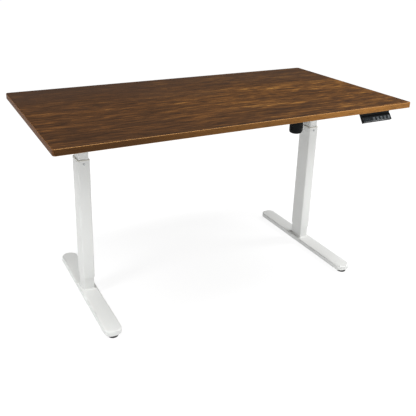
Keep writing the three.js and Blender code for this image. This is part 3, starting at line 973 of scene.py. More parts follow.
def add_column(side):
    add_tube(f"{side}_stub_tube", f"{side}_foot_stub", STUB_CORNER, SHEET, "base")
    add_tube(f"{side}_lower_column", f"{side}_outer_tube", OUTER_CORNER, TUBE_WALL, "base")
    add_tube(f"{side}_upper_column", f"{side}_inner_tube", INNER_CORNER, TUBE_WALL, "lift")
    middle, size, low, _ = span(f"{side}_foot_stub")
    _, _, outer_low, _ = span(f"{side}_outer_tube")
    place = at(middle.x, middle.y)
    bm = weld_bead(bmesh.new(), size.x, size.y, STUB_CORNER, 3.4 * MM, low.z - 0.3 * MM, 1, place)
    weld_bead(bm, size.x, size.y, STUB_CORNER, 2.4 * MM, outer_low.z, -1, place)
    add_piece(f"{side}_column_welds", bm, powder, "base")


for side in SIDES:
    add_column(side)
print("columns at x", [round(span(f"{side}_outer_tube")[0].x, 3) for side in SIDES])

# %% [markdown]
# ## Guide collars and their screws
# A pale acetal collar keeps the inner tube centred. Only its lip shows, as a faint line at the outer
# tube's rim; the sleeve below it reaches down between the tubes. One small pan-head screw with a hexagon
# socket holds it from the front. The screw's helper is used again for every fastener of the desk.

# %% Collars and screws
def add_collar(side):
    middle, size, low, high = span(f"{side}_guide_collar")
    _, _, _, tube_high = span(f"{side}_outer_tube")
    _, inner_size, _, _ = span(f"{side}_inner_tube")
    wall = (size.x - inner_size.x) / 2 - 0.3 * MM
    sleeve = TUBE_WALL + 0.3 * MM
    lip = tube_high.z + 0.2 * MM
    profile = [
        (0, lip), (0, high.z - 0.7 * MM), (0.25 * MM, high.z - 0.2 * MM), (0.7 * MM, high.z),
        (wall - 0.3 * MM, high.z), (wall, high.z - 0.3 * MM), (wall, low.z), (sleeve, low.z), (sleeve, lip),
    ]
    ring = oblong(size.x, size.y, OUTER_CORNER, 8)
    bm = loft(bmesh.new(), ring, profile, hollow=True, matrix=at(middle.x, middle.y))
    add_piece(f"{side}_collar_moulding", bm, acetal, "base", [f"{side}_guide_collar"])


def socket_screw(bm, matrix, radius, height, domed=True, shank=0.0):
    """A screw head that rises from Z = 0, with a hexagon socket, and its shank below."""
    crown = 0.55 * radius if domed else 0.25 * radius
    wall = 0 if domed else 0.55 * height
    sunk = height * 0.35
    rise = [
        (crown * (1 - math.cos(a)), wall + (height - wall) * math.sin(a))
        for a in (math.pi / 2 * i / 5 for i in range(6))
    ]
    loft(bm, disc(radius, 24), [(0, 0)] + rise[1:-1] + [(crown, height)], matrix=matrix)
    top = [f for f in bm.faces if len(f.verts) == 24][-1]
    bmesh.ops.inset_individual(bm, faces=[top], thickness=radius * 0.45 - crown * 0.3)
    bmesh.ops.translate(bm, verts=top.verts, vec=matrix.to_3x3() @ Vector((0, 0, -sunk)))
    if shank:
        loft(bm, disc(radius * 0.5, 16), [(0, -shank), (0, 0)], matrix=matrix)
    return bm


def facing_front(x, y, z):
    """A frame whose Z axis points at the sitter."""
    return at(x, y, z) @ Matrix.Rotation(math.pi / 2, 4, "X")


def add_collar_screw(side):
    middle, size, low, high = span(f"{side}_collar_screw")
    _, _, tube_low, _ = span(f"{side}_outer_tube")
    seat = facing_front(middle.x, tube_low.y, middle.z)
    bm = socket_screw(bmesh.new(), seat, size.x / 2, tube_low.y - low.y, True, high.y - tube_low.y)
    add_piece(f"{side}_collar_pan_screw", bm, steel, "base", [f"{side}_collar_screw"])


for side in SIDES:
    add_collar(side)
    add_collar_screw(side)
print("collars and screws on", list(SIDES))

# %% [markdown]
# ## Motor casing and bracket
# A black moulding hangs beside the right column and hides the motor. It is nearly round, its lower end
# is rounded over, and a fine groove marks where cap and sleeve meet. Cooling slots run
# round the lower end. They are real cuts, made with one boolean from a row of slot-shaped cutters.

# %% Cutting with another shape
def carve(bm, cutter_bm):
    """Takes the cutter's volume away from bm, with one exact boolean."""
    parts = []
    for name, source in (("body", bm), ("cutter", cutter_bm)):
        bmesh.ops.recalc_face_normals(source, faces=source.faces)
        mesh = bpy.data.meshes.new(name)
        source.to_mesh(mesh)
        source.free()
        part = bpy.data.objects.new(name, mesh)
        bpy.context.scene.collection.objects.link(part)
        parts.append(part)
    body, cutter = parts
    difference = body.modifiers.new("cut", "BOOLEAN")
    difference.operation = "DIFFERENCE"
    difference.solver = "EXACT"
    difference.use_self = True
    difference.object = cutter
    shape = body.evaluated_get(bpy.context.evaluated_depsgraph_get()).to_mesh()
    result = bmesh.new()
    result.from_mesh(shape)
    for part in parts:
        mesh = part.data
        bpy.data.objects.remove(part)
        bpy.data.meshes.remove(mesh)
    bmesh.ops.dissolve_limit(
        result, angle_limit=math.radians(0.5), verts=result.verts, edges=result.edges
    )
    return result


def slot_ring(length, width):
    """A slot outline with round ends, to be lofted into a cutter."""
    return oblong(length, width, width / 2, 5)


print("boolean helper ready")

# %% Motor casing
def add_motor_casing():
    middle, size, low, high = span("motor_casing")
    wall, turn, groove = 2.5 * MM, 10 * MM, 0.5 * MM
    seam = low.z + 46 * MM
    outside = rounded_edge(high.z, low.z, turn, 7)[::-1]
    outside += [
        (0, seam - 0.6 * MM), (groove, seam - 0.3 * MM), (groove, seam + 0.3 * MM), (0, seam + 0.6 * MM),
        (0, high.z - 0.4 * MM), (0.4 * MM, high.z),
    ]
    inside = [
        (wall, high.z), (wall, low.z + turn), (wall + 1.4 * MM, low.z + 6.4 * MM),
        (wall + 4 * MM, low.z + 3.6 * MM), (wall + 7 * MM, low.z + wall),
    ]
    ring = oblong(size.x, size.y, 27 * MM, 12)
    bm = loft(bmesh.new(), ring, outside + inside, matrix=at(middle.x, middle.y))
    cutters = bmesh.new()
    for step in range(6):
        z = low.z + (19 + 4.2 * step) * MM
        for x in (low.x, high.x):
            through = [(0, -7 * MM), (0, 7 * MM)]
            loft(cutters, slot_ring(1.7 * MM, 20 * MM), through, matrix=along_x(x, middle.y, z))
    add_piece("motor_cap_and_sleeve", carve(bm, cutters), black, "lift", ["motor_casing"])


def add_motor_screws():
    middle, _, low, _ = span("motor_casing")
    bm = bmesh.new()
    for side in (-1, 1):
        spot = facing_down(middle.x + side * 8 * MM, middle.y, low.z + 0.6 * MM)
        socket_screw(bm, spot, 2.6 * MM, 0.6 * MM, False, 4 * MM)
    add_piece("motor_casing_screws", bm, steel, "lift")


add_motor_casing()
add_motor_screws()
print("motor casing", [round(value, 3) for value in span("motor_casing")[1]])

# %% [markdown]
# The motor itself is a drawn steel can with a swaged end. The bracket that carries it is a folded plate,
# so its edges get a small even round from the press brake, made here with a bevel on the sharp edges.

# %% Motor and bracket
def add_motor():
    middle, size, low, high = span("motor")
    radius = size.x / 2
    profile = [
        (16 * MM, low.z), (14 * MM, low.z + 0.2 * MM), (4 * MM, low.z + 0.2 * MM),
        (1.2 * MM, low.z + 0.6 * MM),
        (0, low.z + 2.4 * MM), (0, high.z - 22 * MM), (0.8 * MM, high.z - 21 * MM),
        (0.8 * MM, high.z - 18 * MM), (0, high.z - 17 * MM), (0, high.z - 1 * MM), (1 * MM, high.z),
    ]
    bm = loft(bmesh.new(), disc(radius, 48), profile, matrix=at(middle.x, middle.y))
    add_piece("motor_can", bm, steel, "lift", ["motor"])


def add_motor_bracket():
    _, _, low, high = span("motor_bracket")
    plate, lip = 2.5 * MM, 8 * MM
    bm = bmesh.new()
    slab(bm, low, (low.x + plate, high.y, high.z))
    slab(bm, (low.x + plate, high.y - plate, low.z), (low.x + lip, high.y, high.z - plate))
    slab(bm, (low.x + plate, low.y, high.z - plate), high)
    soften(bm, 0.6 * MM, 3)
    add_piece("motor_bracket_fold", bm, powder, "lift", ["motor_bracket"])


add_motor()
add_motor_bracket()
print("motor and bracket ready")

# %% [markdown]
# ## Handset
# The handset hangs under the front edge. Its case is one moulding whose section, from the sloped face
# back to the flange under the board, stays the same along its length, so it is that outline swept along
# X with rounded edges. A shallow recess takes the glossy face, and five wells take the keys.

# %% The sloped face's own frame
TILT = math.radians(55)
panel_middle = span("handset_panel")[0]
FACE_TURN = Matrix.Rotation(TILT, 4, "X")
PANEL_DEEP = 1.2 * MM
face_out = FACE_TURN.to_3x3() @ Vector((0, 0, 1))
face = at(*(panel_middle + face_out * PANEL_DEEP / 2)) @ FACE_TURN
into_face = face.inverted()
KEYS = ["memory_1", "memory_2", "memory_3", "up", "down"]


def on_face(node):
    """A node's box as from span, in the face's frame: X along it, Y up it, Z out of it."""
    corners = [into_face @ vertex.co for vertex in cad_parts[node].data.vertices]
    low = Vector([min(point[i] for point in corners) for i in range(3)])
    high = Vector([max(point[i] for point in corners) for i in range(3)])
    return (low + high) / 2, high - low, low, high


print("face at", [round(value, 4) for value in face.translation])

# %% Handset case
def case_section():
    """The corners of the CAD case's left end, as a set of (Y, Z) points."""
    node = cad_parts["handset_case"]
    _, _, low, _ = span("handset_case")
    end = [v.co for v in node.data.vertices if abs(v.co.x - low.x) < 0.01 * MM]
    return {(round(co.y, 6), round(co.z, 6)) for co in end}


def sweep_section(bm, outline, x_low, x_high):
    """A solid with the same (Y, Z) outline from one X to another."""
    ends = [[bm.verts.new((x, y, z)) for y, z in outline] for x in (x_low, x_high)]
    bm.faces.new(ends[0])
    bm.faces.new(ends[1])
    join_rings(bm, ends[0], ends[1])
    return bm


def ordered_case_outline():
    """The section's corners, walked from the face's lower edge back and up to the flange and forward."""
    points = case_section()
    front = min(points)
    top_z = max(z for _, z in points)
    back_y = max(y for y, _ in points)
    heel = min(points - {front}, key=lambda p: p[1])
    flange_low = min((p for p in points if p[0] == back_y), key=lambda p: p[1])
    bend = min((p for p in points if abs(p[1] - flange_low[1]) < 0.01 * MM), key=lambda p: p[0])
    neck_top = min((p for p in points if p[1] == top_z), key=lambda p: p[0])
    brow = min((p for p in points if p[0] == neck_top[0]), key=lambda p: p[1])
    known = {front, heel, bend, flange_low, (back_y, top_z), neck_top, brow}
    face_top = max(points - known, key=lambda p: p[1])
    return [front, heel, bend, flange_low, (back_y, top_z), neck_top, brow, face_top]


def face_cutter(bm, middle, size, grow, deep, corner):
    """A well cut into the face around a key or the panel."""
    well = face @ at(middle.x, middle.y)
    ring = oblong(size.x + 2 * grow, size.y + 2 * grow, corner, 4)
    return loft(bm, ring, [(0, -deep), (0, 3 * MM)], matrix=well)


def add_handset_case():
    _, _, low, high = span("handset_case")
    bm = sweep_section(bmesh.new(), ordered_case_outline(), low.x, high.x)
    soften(bm, 1.1 * MM, 4, 12)
    middle, size, _, _ = on_face("handset_panel")
    bm = carve(bm, face_cutter(bmesh.new(), middle, size, 0.3 * MM, 1.5 * MM, 1.5 * MM))
    wells = bmesh.new()
    for key in KEYS:
        middle, size, _, _ = on_face(f"button_{key}")
        face_cutter(wells, middle, size, 0.3 * MM, 3.4 * MM, 1.2 * MM)
    add_piece("handset_moulding", carve(bm, wells), black, "lift", ["handset_case"])


add_handset_case()
print("handset case with", len(KEYS), "wells")

# %% [markdown]
# The face is a thin glossy panel with a window for the display and a hole for each key. The display is
# a dark pane with the unlit segments of its digits just visible, printed as slim bars on the glass.

# %% Handset face and display
def add_face_panel():
    middle, size, _, _ = on_face("handset_panel")
    spot = face @ at(middle.x, middle.y)
    profile = [
        (0.3 * MM, -PANEL_DEEP), (0, -PANEL_DEEP + 0.2 * MM), (0, -0.35 * MM), (0.1 * MM, -0.1 * MM),
        (0.35 * MM, 0),
    ]
    bm = loft(bmesh.new(), oblong(size.x, size.y, 1.5 * MM, 6), profile, matrix=spot)
    holes = bmesh.new()
    for node in ["handset_display"] + [f"button_{key}" for key in KEYS]:
        middle, size, _, _ = on_face(node)
        face_cutter(holes, middle, size, 0.25 * MM, 3 * MM, 1.2 * MM)
    add_piece("handset_face", carve(bm, holes), gloss, "lift", ["handset_panel"])


def digit_bars(bm, x, y, high, z):
    """The seven slim bars of one digit, lying in the face at height z."""
    long, thick = high * 0.4, high * 0.09
    flat = [(x, y + step * long, long * 0.8, thick) for step in (-1, 0, 1)]
    upright = [
        (x + across * long / 2, y + step * long / 2, thick, long * 0.8)
        for across in (-1, 1) for step in (-1, 1)
    ]
    for bar_x, bar_y, wide, tall in flat + upright:
        spot = face @ at(bar_x, bar_y, z)
        loft(bm, oblong(wide, tall, thick * 0.4, 2), [(0, 0), (0, 0.05 * MM)], matrix=spot)
    return bm


def add_display():
    middle, size, _, high = on_face("handset_display")
    spot = face @ at(middle.x, middle.y)
    profile = [(0, high.z - 1 * MM), (0, high.z - 0.2 * MM), (0.2 * MM, high.z)]
    bm = loft(bmesh.new(), oblong(size.x, size.y, 1 * MM, 4), profile, matrix=spot)
    add_piece("handset_display_glass", bm, gloss, "lift", ["handset_display"])
    bars = bmesh.new()
    for place in (-1, 0, 1):
        digit_bars(bars, middle.x + place * 8.5 * MM, middle.y, 8 * MM, high.z)
    add_piece("handset_display_segments", bars, key_plastic, "lift")


add_face_panel()
add_display()
print("handset face and display ready")

# %% [markdown]
# Each key is its own piece, because each one travels half a millimetre by itself. Its rim is rounded and
# its top is dished a little for the fingertip. The marks are thin raised prints: a digit on each memory
# key, drawn as a few strokes, and an arrow on each of the two keys that move the desk.

# %% Keys and their marks
STROKES = {
    "memory_1": [[(-0.5, 0.9), (0.2, 1.4), (0.2, -1.4)]],
    "memory_2": [[(-0.8, 0.8), (-0.4, 1.4), (0.4, 1.4), (0.8, 0.8), (0.7, 0.1), (-0.8, -1.4), (0.8, -1.4)]],
    "memory_3": [[(-0.8, 1.1), (0, 1.4), (0.7, 0.8), (0.1, 0.1), (0.8, -0.6), (0, -1.4), (-0.8, -1.1)]],
    "up": [[(-1.1, -0.1), (0, 1.4), (1.1, -0.1)], [(0, 1.2), (0, -1.4)]],
    "down": [[(-1.1, 0.1), (0, -1.4), (1.1, 0.1)], [(0, -1.2), (0, 1.4)]],
}
MARK_SCALE = 2.5 * MM
STROKE_WIDTH = 0.9 * MM


def stroke_mark(bm, strokes, spot):
    """Draws each stroke as short bars with round ends."""
    for stroke in strokes:
        for (ax, ay), (bx, by) in zip(stroke, stroke[1:]):
            start, end = Vector((ax, ay)) * MARK_SCALE, Vector((bx, by)) * MARK_SCALE
            along = end - start
            middle = (start + end) / 2
            turn = Matrix.Rotation(math.atan2(along.y, along.x), 4, "Z")
            bar = spot @ at(middle.x, middle.y) @ turn
            ring = oblong(along.length + STROKE_WIDTH, STROKE_WIDTH, STROKE_WIDTH / 2, 4)
            loft(bm, ring, [(0, -0.1 * MM), (0, 0.06 * MM)], matrix=bar)
    return bm


def add_key(key):
    node = f"button_{key}"
    middle, size, low, high = on_face(node)
    spot = face @ at(middle.x, middle.y)
    profile = [
        (0, low.z), (0, high.z - 0.5 * MM), (0.15 * MM, high.z - 0.15 * MM), (0.5 * MM, high.z),
        (1.2 * MM, high.z - 0.05 * MM), (3 * MM, high.z - 0.2 * MM),
    ]
    bm = loft(bmesh.new(), oblong(size.x, size.y, 1.2 * MM, 5), profile, matrix=spot)
    add_piece(f"key_{key}", bm, key_plastic, node, [node])
    top = spot @ at(0, 0, high.z - 0.2 * MM)
    marks = stroke_mark(bmesh.new(), STROKES[key], top)
    add_piece(f"key_{key}_mark", marks, mark_print_and_glow, node)


for key in KEYS:
    add_key(key)
print("keys", KEYS)

# %% [markdown]
# ## Gearboxes
# A die-cast housing on each column holds the worm and wheel that turn the spindle. It is cast in two
# halves, so a flange runs round the joint, and thin ribs stiffen the walls between the flanges. A bore in
# the inner face takes the hex shaft and one below takes the spindle. The right housing reaches over the
# motor. Socket screws at the underside's corners clamp the halves.

# %% Gearboxes
CAST_WALL = 1.6 * MM
SHAFT_BORE, SPINDLE_BORE = 6 * MM, 7.6 * MM


def housing_profile(low_z, high_z):
    """Full size at the flanges, drawn in between them."""
    joint = high_z - 12 * MM
    return [
        (1.4 * MM, low_z), (0.4 * MM, low_z + 0.4 * MM), (0, low_z + 1.4 * MM), (0, low_z + 3.6 * MM),
        (CAST_WALL, low_z + 5 * MM), (CAST_WALL, joint - 3.4 * MM), (0, joint - 2.2 * MM),
        (0, joint - 0.3 * MM), (0.5 * MM, joint), (0, joint + 0.3 * MM), (0, joint + 2.2 * MM),
        (CAST_WALL, joint + 3.4 * MM), (CAST_WALL, high_z - 1.4 * MM), (CAST_WALL + 1.4 * MM, high_z),
    ]


def add_ribs(bm, middle, low, high):
    """Thin upright ribs between the lower flange and the joint."""
    bottom, top = low.z + 3 * MM, high.z - 13.5 * MM
    root = CAST_WALL + 0.6 * MM
    count = int((high.x - low.x) / (11 * MM))
    for i in range(count):
        x = low.x + (high.x - low.x) * (i + 0.5) / count
        for face_y, turn in ((low.y + 0.1 * MM, 1), (high.y - 0.1 * MM, -1)):
            ends = sorted((face_y, face_y + turn * root))
            slab(bm, (x - 0.9 * MM, ends[0], bottom), (x + 0.9 * MM, ends[1], top))
    for step in (-2, -1, 1, 2):
        y = middle.y + step * 12 * MM
        for face_x, turn in ((low.x + 0.1 * MM, 1), (high.x - 0.1 * MM, -1)):
            ends = sorted((face_x, face_x + turn * root))
            slab(bm, (ends[0], y - 0.9 * MM, bottom), (ends[1], y + 0.9 * MM, top))
    return bm


def add_gearbox(side, sign):
    middle, size, low, high = span(f"{side}_gearbox")
    spindle, _, _, spindle_high = span(f"{side}_spindle")
    shaft, _, shaft_low, shaft_high = span("hex_shaft")
    ring = oblong(size.x, size.y, 3 * MM, 5)
    bm = loft(bmesh.new(), ring, housing_profile(low.z, high.z), matrix=at(middle.x, middle.y))
    add_ribs(bm, middle, low, high)
    bores = bmesh.new()
    seat = [(0, low.z - 2 * MM), (0, spindle_high.z + 1 * MM)]
    loft(bores, disc(SPINDLE_BORE, 32), seat, matrix=at(spindle.x, spindle.y))
    inner, tip = (low.x, shaft_high.x) if sign > 0 else (high.x, shaft_low.x)
    reach = sorted((inner - sign * 2 * MM, tip + sign * 1 * MM))
    loft(bores, disc(SHAFT_BORE, 32), [(0, x) for x in reach], matrix=along_x(0, shaft.y, shaft.z))
    housing = carve(bm, bores)
    add_piece(f"{side}_gear_housing", housing, casting, "lift", [f"{side}_gearbox"])

    screws = bmesh.new()
    for edge_x in (low.x + 8 * MM, high.x - 8 * MM):
        for edge_y in (low.y + 8 * MM, high.y - 8 * MM):
            under = facing_down(edge_x, edge_y, low.z + 0.4 * MM)
            if abs(edge_x - spindle.x) > 24 * MM:
                socket_screw(screws, under, 3 * MM, 0.4 * MM, False, 3 * MM)
    for end in (-1, 1):
        top = at(middle.x, middle.y + end * 24 * MM, high.z - 0.5 * MM)
        socket_screw(screws, top, 3 * MM, 0.4 * MM, False, 3 * MM)
    add_piece(f"{side}_gear_housing_screws", screws, steel, "lift")


for side, sign in SIDES.items():
    add_gearbox(side, sign)
print("gearboxes", [round(span(f"{side}_gearbox")[1].x, 3) for side in SIDES])

# %% [markdown]
# ## Drive shaft
# One long hexagonal bar carries the motor's turn to the other column, so that both rise by the same
# amount. A steel sleeve near each gearbox couples it, clamped by two set screws sunk below its surface.

# %% Drive shaft and couplings
def add_hex_shaft():
    middle, _, low, high = span("hex_shaft")
    chamfer = 0.7 * MM
    profile = [(chamfer, low.x), (0, low.x + chamfer), (0, high.x - chamfer), (chamfer, high.x)]
    lying = along_x(0, middle.y, middle.z) @ Matrix.Rotation(math.pi / 6, 4, "Z")
    bm = loft(bmesh.new(), hexagon(8 * MM), profile, matrix=lying)
    add_piece("hex_drive_bar", bm, steel, "drive_shaft", ["hex_shaft"])


def add_coupling(side):
    middle, size, low, high = span(f"{side}_shaft_coupling")
    chamfer, bore = 0.8 * MM, size.z / 2 - 5 * MM
    profile = [
        (0, low.x + chamfer), (0, middle.x - 0.5 * MM), (0.5 * MM, middle.x), (0, middle.x + 0.5 * MM),
        (0, high.x - chamfer), (chamfer, high.x), (bore - 0.5 * MM, high.x), (bore, high.x - 0.5 * MM),
        (bore, low.x + 0.5 * MM), (bore - 0.5 * MM, low.x), (chamfer, low.x),
    ]
    lying = along_x(0, middle.y, middle.z)
    bm = loft(bmesh.new(), disc(size.z / 2, 48), profile, hollow=True, matrix=lying)
    screws = bmesh.new()
    for x in (middle.x - 9 * MM, middle.x + 9 * MM):
        drilled = facing_front(x, low.y + 0.25 * MM, middle.z)
        socket_screw(screws, drilled, 2 * MM, 0.15 * MM, False, 3 * MM)
    replaced = [f"{side}_shaft_coupling"]
    add_piece(f"{side}_coupling_sleeve", bm, steel, "drive_shaft", replaced)
    add_piece(f"{side}_coupling_set_screws", screws, steel, "drive_shaft")


add_hex_shaft()
for side in SIDES:
    add_coupling(side)
print("drive shaft", round(span("hex_shaft")[1].x, 3), "m long")

# %% [markdown]
# ## Frame rails
# Two rails join the columns. Each is a wide tube with a narrower one inside it, which lets one frame fit
# boards of several widths. They are roll-formed tubes, so they are lofted along X with round corners and
# a wall, and two bolts clamp the halves where they overlap. More bolts hold the gearboxes to the rails.

# %% Frame rails
def facing_back(x, y, z):
    """A frame whose Z axis points away from the sitter."""
    return at(x, y, z) @ Matrix.Rotation(-math.pi / 2, 4, "X")


def add_rail(end, side, corner):
    node = f"{end}_rail_{side}"
    middle, size, low, high = span(node)
    profile = tube_profile(low.x, high.x, TUBE_WALL)
    lying = along_x(0, middle.y, middle.z)
    bm = loft(bmesh.new(), oblong(size.z, size.y, corner, 5), profile, hollow=True, matrix=lying)
    add_piece(f"{end}_{side}_rail_tube", bm, powder, "lift", [node])


def add_rail_bolts(end):
    """Clamping bolts at the overlap, and one bolt into each gearbox."""
    _, _, low, high = span(f"{end}_rail_left")
    middle_z = (low.z + high.z) / 2
    bm = bmesh.new()
    for x in (high.x - 16 * MM, high.x - 46 * MM):
        spot = facing_back(x, high.y, middle_z) if end == "front" else facing_front(x, low.y, middle_z)
        socket_screw(bm, spot, 4.5 * MM, 2.6 * MM, True, 3 * MM)
    for side in SIDES:
        column, _, _, _ = span(f"{side}_inner_tube")
        for x in (column.x - 11 * MM, column.x + 11 * MM):
            outer_y = low.y if side == "left" else span(f"{end}_rail_right")[2].y
            back_y = high.y if side == "left" else span(f"{end}_rail_right")[3].y
            spot = facing_front(x, outer_y, middle_z) if end == "front" else facing_back(x, back_y, middle_z)
            socket_screw(bm, spot, 5 * MM, 2.8 * MM, True, 3 * MM)
    add_piece(f"{end}_rail_bolts", bm, steel, "lift")


for end in ENDS:
    add_rail(end, "left", 2.5 * MM)
    add_rail(end, "right", 1.5 * MM)
    add_rail_bolts(end)
print("rails", [round(span(f"front_rail_{side}")[1].x, 3) for side in SIDES])

# %% [markdown]
# ## Side brackets
# A folded steel bracket under each end of the board carries it on the rails. Its outer flange is a shallow
# trapezium, its inner flange is cut away where the rails pass. The flat pattern is cut by laser, then
# folded, so the shape is the CAD's plates with a small round on every edge. Wood screws hold the board
# and cap bolts the rails' ends.

# %% Side brackets
def rounded_copy(node, width):
    """The CAD node's shape in a new mesh, with its flats merged and its edges rounded."""
    bm = bmesh.new()
    bm.from_mesh(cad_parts[node].data)
    bmesh.ops.remove_doubles(bm, verts=bm.verts, dist=1e-6)
    bmesh.ops.dissolve_limit(bm, angle_limit=math.radians(1), verts=bm.verts, edges=bm.edges)
    return soften(bm, width, 3)


def add_side_bracket(side, sign):
    node = f"{side}_side_bracket"
    middle, _, low, high = span(node)
    add_piece(
        f"{side}_bracket_fold", rounded_copy(node, 0.5 * MM), powder, "lift", [node]
    )
    screws = bmesh.new()
    plate_low = high.z - 3 * MM
    for y in (-260, -160, -80, 105, 180, 260):
        under = facing_down(middle.x, y * MM, plate_low)
        socket_screw(screws, under, 4 * MM, 2.2 * MM, True, 2 * MM)
    outer = high.x if sign > 0 else low.x
    for end in ENDS:
        rail, _, _, _ = span(f"{end}_rail_{side}")
        spot = at(outer, rail.y, rail.z) @ Matrix.Rotation(sign * math.pi / 2, 4, "Y")
        socket_screw(screws, spot, 5 * MM, 2.8 * MM, True, 2 * MM)
    add_piece(f"{side}_bracket_screws", screws, steel, "lift")


for side, sign in SIDES.items():
    add_side_bracket(side, sign)
print("side brackets", [round(value, 3) for value in span("left_side_bracket")[1]])

# %% [markdown]
# ## Control box
# A moulded tray with its own lid, screwed under the board behind the shaft. The tray has a row of vents in
# its floor and a post at each corner of the circuit board. Screws near the lid's corners hold it. Three
# sockets in its right end take the mains, motor and handset leads.

# %% Control box tray and lid
def add_tray():
    middle, size, low, high = span("control_box_base")
    wall = 2.5 * MM
    profile = rounded_edge(high.z, low.z, 2 * MM, 4)[::-1] + [
        (0, high.z - 0.4 * MM), (0.4 * MM, high.z), (wall - 0.4 * MM, high.z), (wall, high.z - 0.4 * MM),
        (wall, low.z + wall + 1 * MM), (wall + 1 * MM, low.z + wall),
    ]
    bm = loft(bmesh.new(), oblong(size.x, size.y, 4 * MM, 6), profile, matrix=at(middle.x, middle.y))
    vents = bmesh.new()
    for row in (-1, 1):
        for step in range(-6, 7):
            spot = at(middle.x + step * 7 * MM, middle.y + row * 22 * MM)
            through = [(0, low.z - 2 * MM), (0, low.z + 5 * MM)]
            loft(vents, slot_ring(2.4 * MM, 20 * MM), through, matrix=spot)
    bm = carve(bm, vents)
    _, _, board_low, board_high = span("circuit_board")
    for x in (board_low.x + 12 * MM, board_high.x - 12 * MM):
        for y in (board_low.y + 12 * MM, board_high.y - 12 * MM):
            post = [(-1 * MM, low.z + 1.5 * MM), (0, low.z + 5 * MM), (0, board_low.z - 0.3 * MM)]
            loft(bm, disc(3 * MM, 20), post, matrix=at(x, y))
    add_piece("control_box_tray", bm, black, "lift", ["control_box_base"])


def add_lid():
    middle, size, low, high = span("control_box_cover")
    profile = rounded_edge(high.z, low.z, 0.8 * MM, 3)[::-1] + rounded_edge(low.z, high.z, 0.8 * MM, 3)
    bm = loft(bmesh.new(), oblong(size.x, size.y, 5 * MM, 6), profile, matrix=at(middle.x, middle.y))
    add_piece("control_box_lid", bm, black, "lift", ["control_box_cover"])
    screws = bmesh.new()
    for x in (low.x + 7 * MM, high.x - 7 * MM):
        for y in (low.y + 7 * MM, high.y - 6 * MM):
            under = facing_down(x, y, low.z)
            socket_screw(screws, under, 3.6 * MM, 2 * MM, True, 2 * MM)
    add_piece("control_box_screws", screws, steel, "lift")


add_tray()
add_lid()
print("control box", [round(value, 3) for value in span("control_box_base")[1]])

# %% [markdown]
# Inside lies the circuit board: green solder mask with relays, capacitors, a ribbed heat sink and chips.
# They are small closed shapes on the board, each lofted with its own rounding.

# %% Circuit board and its parts
def block_on(bm, x, y, base, size):
    """A moulded block on the circuit board, sizes in millimetres."""
    wide, deep, tall = (value * MM for value in size)
    profile = [(0, base), (0, base + tall - 0.5 * MM), (0.5 * MM, base + tall)]
    return loft(bm, oblong(wide, deep, 0.6 * MM, 3), profile, matrix=at(x, y))


def add_circuit_board():
    middle, size, low, high = span("circuit_board")
    profile = [(0, low.z), (0, high.z)]
    bm = loft(bmesh.new(), oblong(size.x, size.y, 2 * MM, 4), profile, matrix=at(middle.x, middle.y))
    add_piece("control_circuit", bm, mask_green, "lift", ["circuit_board"])
    chips = bmesh.new()
    for x, y, wide, deep, tall in (
        (-80, 14, 18, 15, 14), (-56, 14, 18, 15, 14), (-20, -12, 14, 14, 1.6), (12, 10, 8, 5, 1.4),
        (30, -10, 8, 5, 1.4), (88, 18, 12, 9, 8), (88, -2, 10, 8, 6), (-84, -16, 24, 20, 15),
    ):
        block_on(chips, middle.x + x * MM, middle.y + y * MM, high.z, (wide, deep, tall))
    add_piece("circuit_chips", chips, black, "lift")
    cans = bmesh.new()
    for x, y, radius in ((-44, -16, 6), (-28, -16, 5), (52, 14, 5), (66, 14, 5), (0, 18, 3)):
        can = [
            (0.4 * MM, 0), (0, 1 * MM), (0.4 * MM, 2 * MM), (0, 3 * MM),
            (0, 14 * MM), (0.8 * MM, 15 * MM),
        ]
        loft(cans, disc(radius * MM, 24), can, matrix=at(middle.x + x * MM, middle.y + y * MM, high.z))
    for step in range(7):
        fin = middle.x + (30 + step * 4) * MM
        lo = (fin - 0.7 * MM, middle.y - 28 * MM, high.z)
        hi = (fin + 0.7 * MM, middle.y - 18 * MM, high.z + 16 * MM)
        slab(cans, lo, hi)
    add_piece("circuit_cans_and_fins", cans, steel, "lift")


def add_socket(node, pins):
    """A moulded shell, open to the right, with its contacts standing inside."""
    middle, size, low, high = span(node)
    wall, back = 2 * MM, 3 * MM
    profile = [
        (0.3 * MM, low.x), (0, low.x + 0.3 * MM), (0, high.x - 0.4 * MM), (0.4 * MM, high.x),
        (wall - 0.4 * MM, high.x), (wall, high.x - 0.4 * MM), (wall, low.x + back),
        (wall + 0.2 * MM, low.x + back),
    ]
    lying = along_x(0, middle.y, middle.z)
    bm = loft(bmesh.new(), oblong(size.z, size.y, 1.4 * MM, 4), profile, matrix=lying)
    add_piece(f"{node}_shell", bm, gloss, "lift", [node])
    contacts = bmesh.new()
    for y, z, wide, tall in pins:
        lo = (low.x + back - 0.5 * MM, middle.y + (y - wide / 2) * MM, middle.z + (z - tall / 2) * MM)
        hi = (high.x - 3 * MM, middle.y + (y + wide / 2) * MM, middle.z + (z + tall / 2) * MM)
        slab(contacts, lo, hi)
    soften(contacts, 0.15 * MM, 2)
    add_piece(f"{node}_contacts", contacts, steel, "lift")


add_circuit_board()
add_socket("power_inlet", [(-7, -2, 2, 4), (7, -2, 2, 4), (0, 2.5, 2, 4)])
add_socket("motor_socket", [(y, 0, 1.2, 2.4) for y in (-6, -3, 0, 3, 6)])
add_socket("handset_socket", [(y, 2.2, 0.5, 1) for y in (-3.5, -2.5, -1.5, -0.5, 0.5, 1.5, 2.5, 3.5)])
print("circuit board and sockets ready")

# %% [markdown]
# ## Inside the columns
# Each spindle hangs from its gearbox and winds through a nut that stands on a fixed tube, so turning it
# lifts the board. The trapezoid thread has the real 8 mm lead. Nut and lower guide are acetal, which runs
# dry on steel; the tube stands on a base plate in the foot of the outer tube.

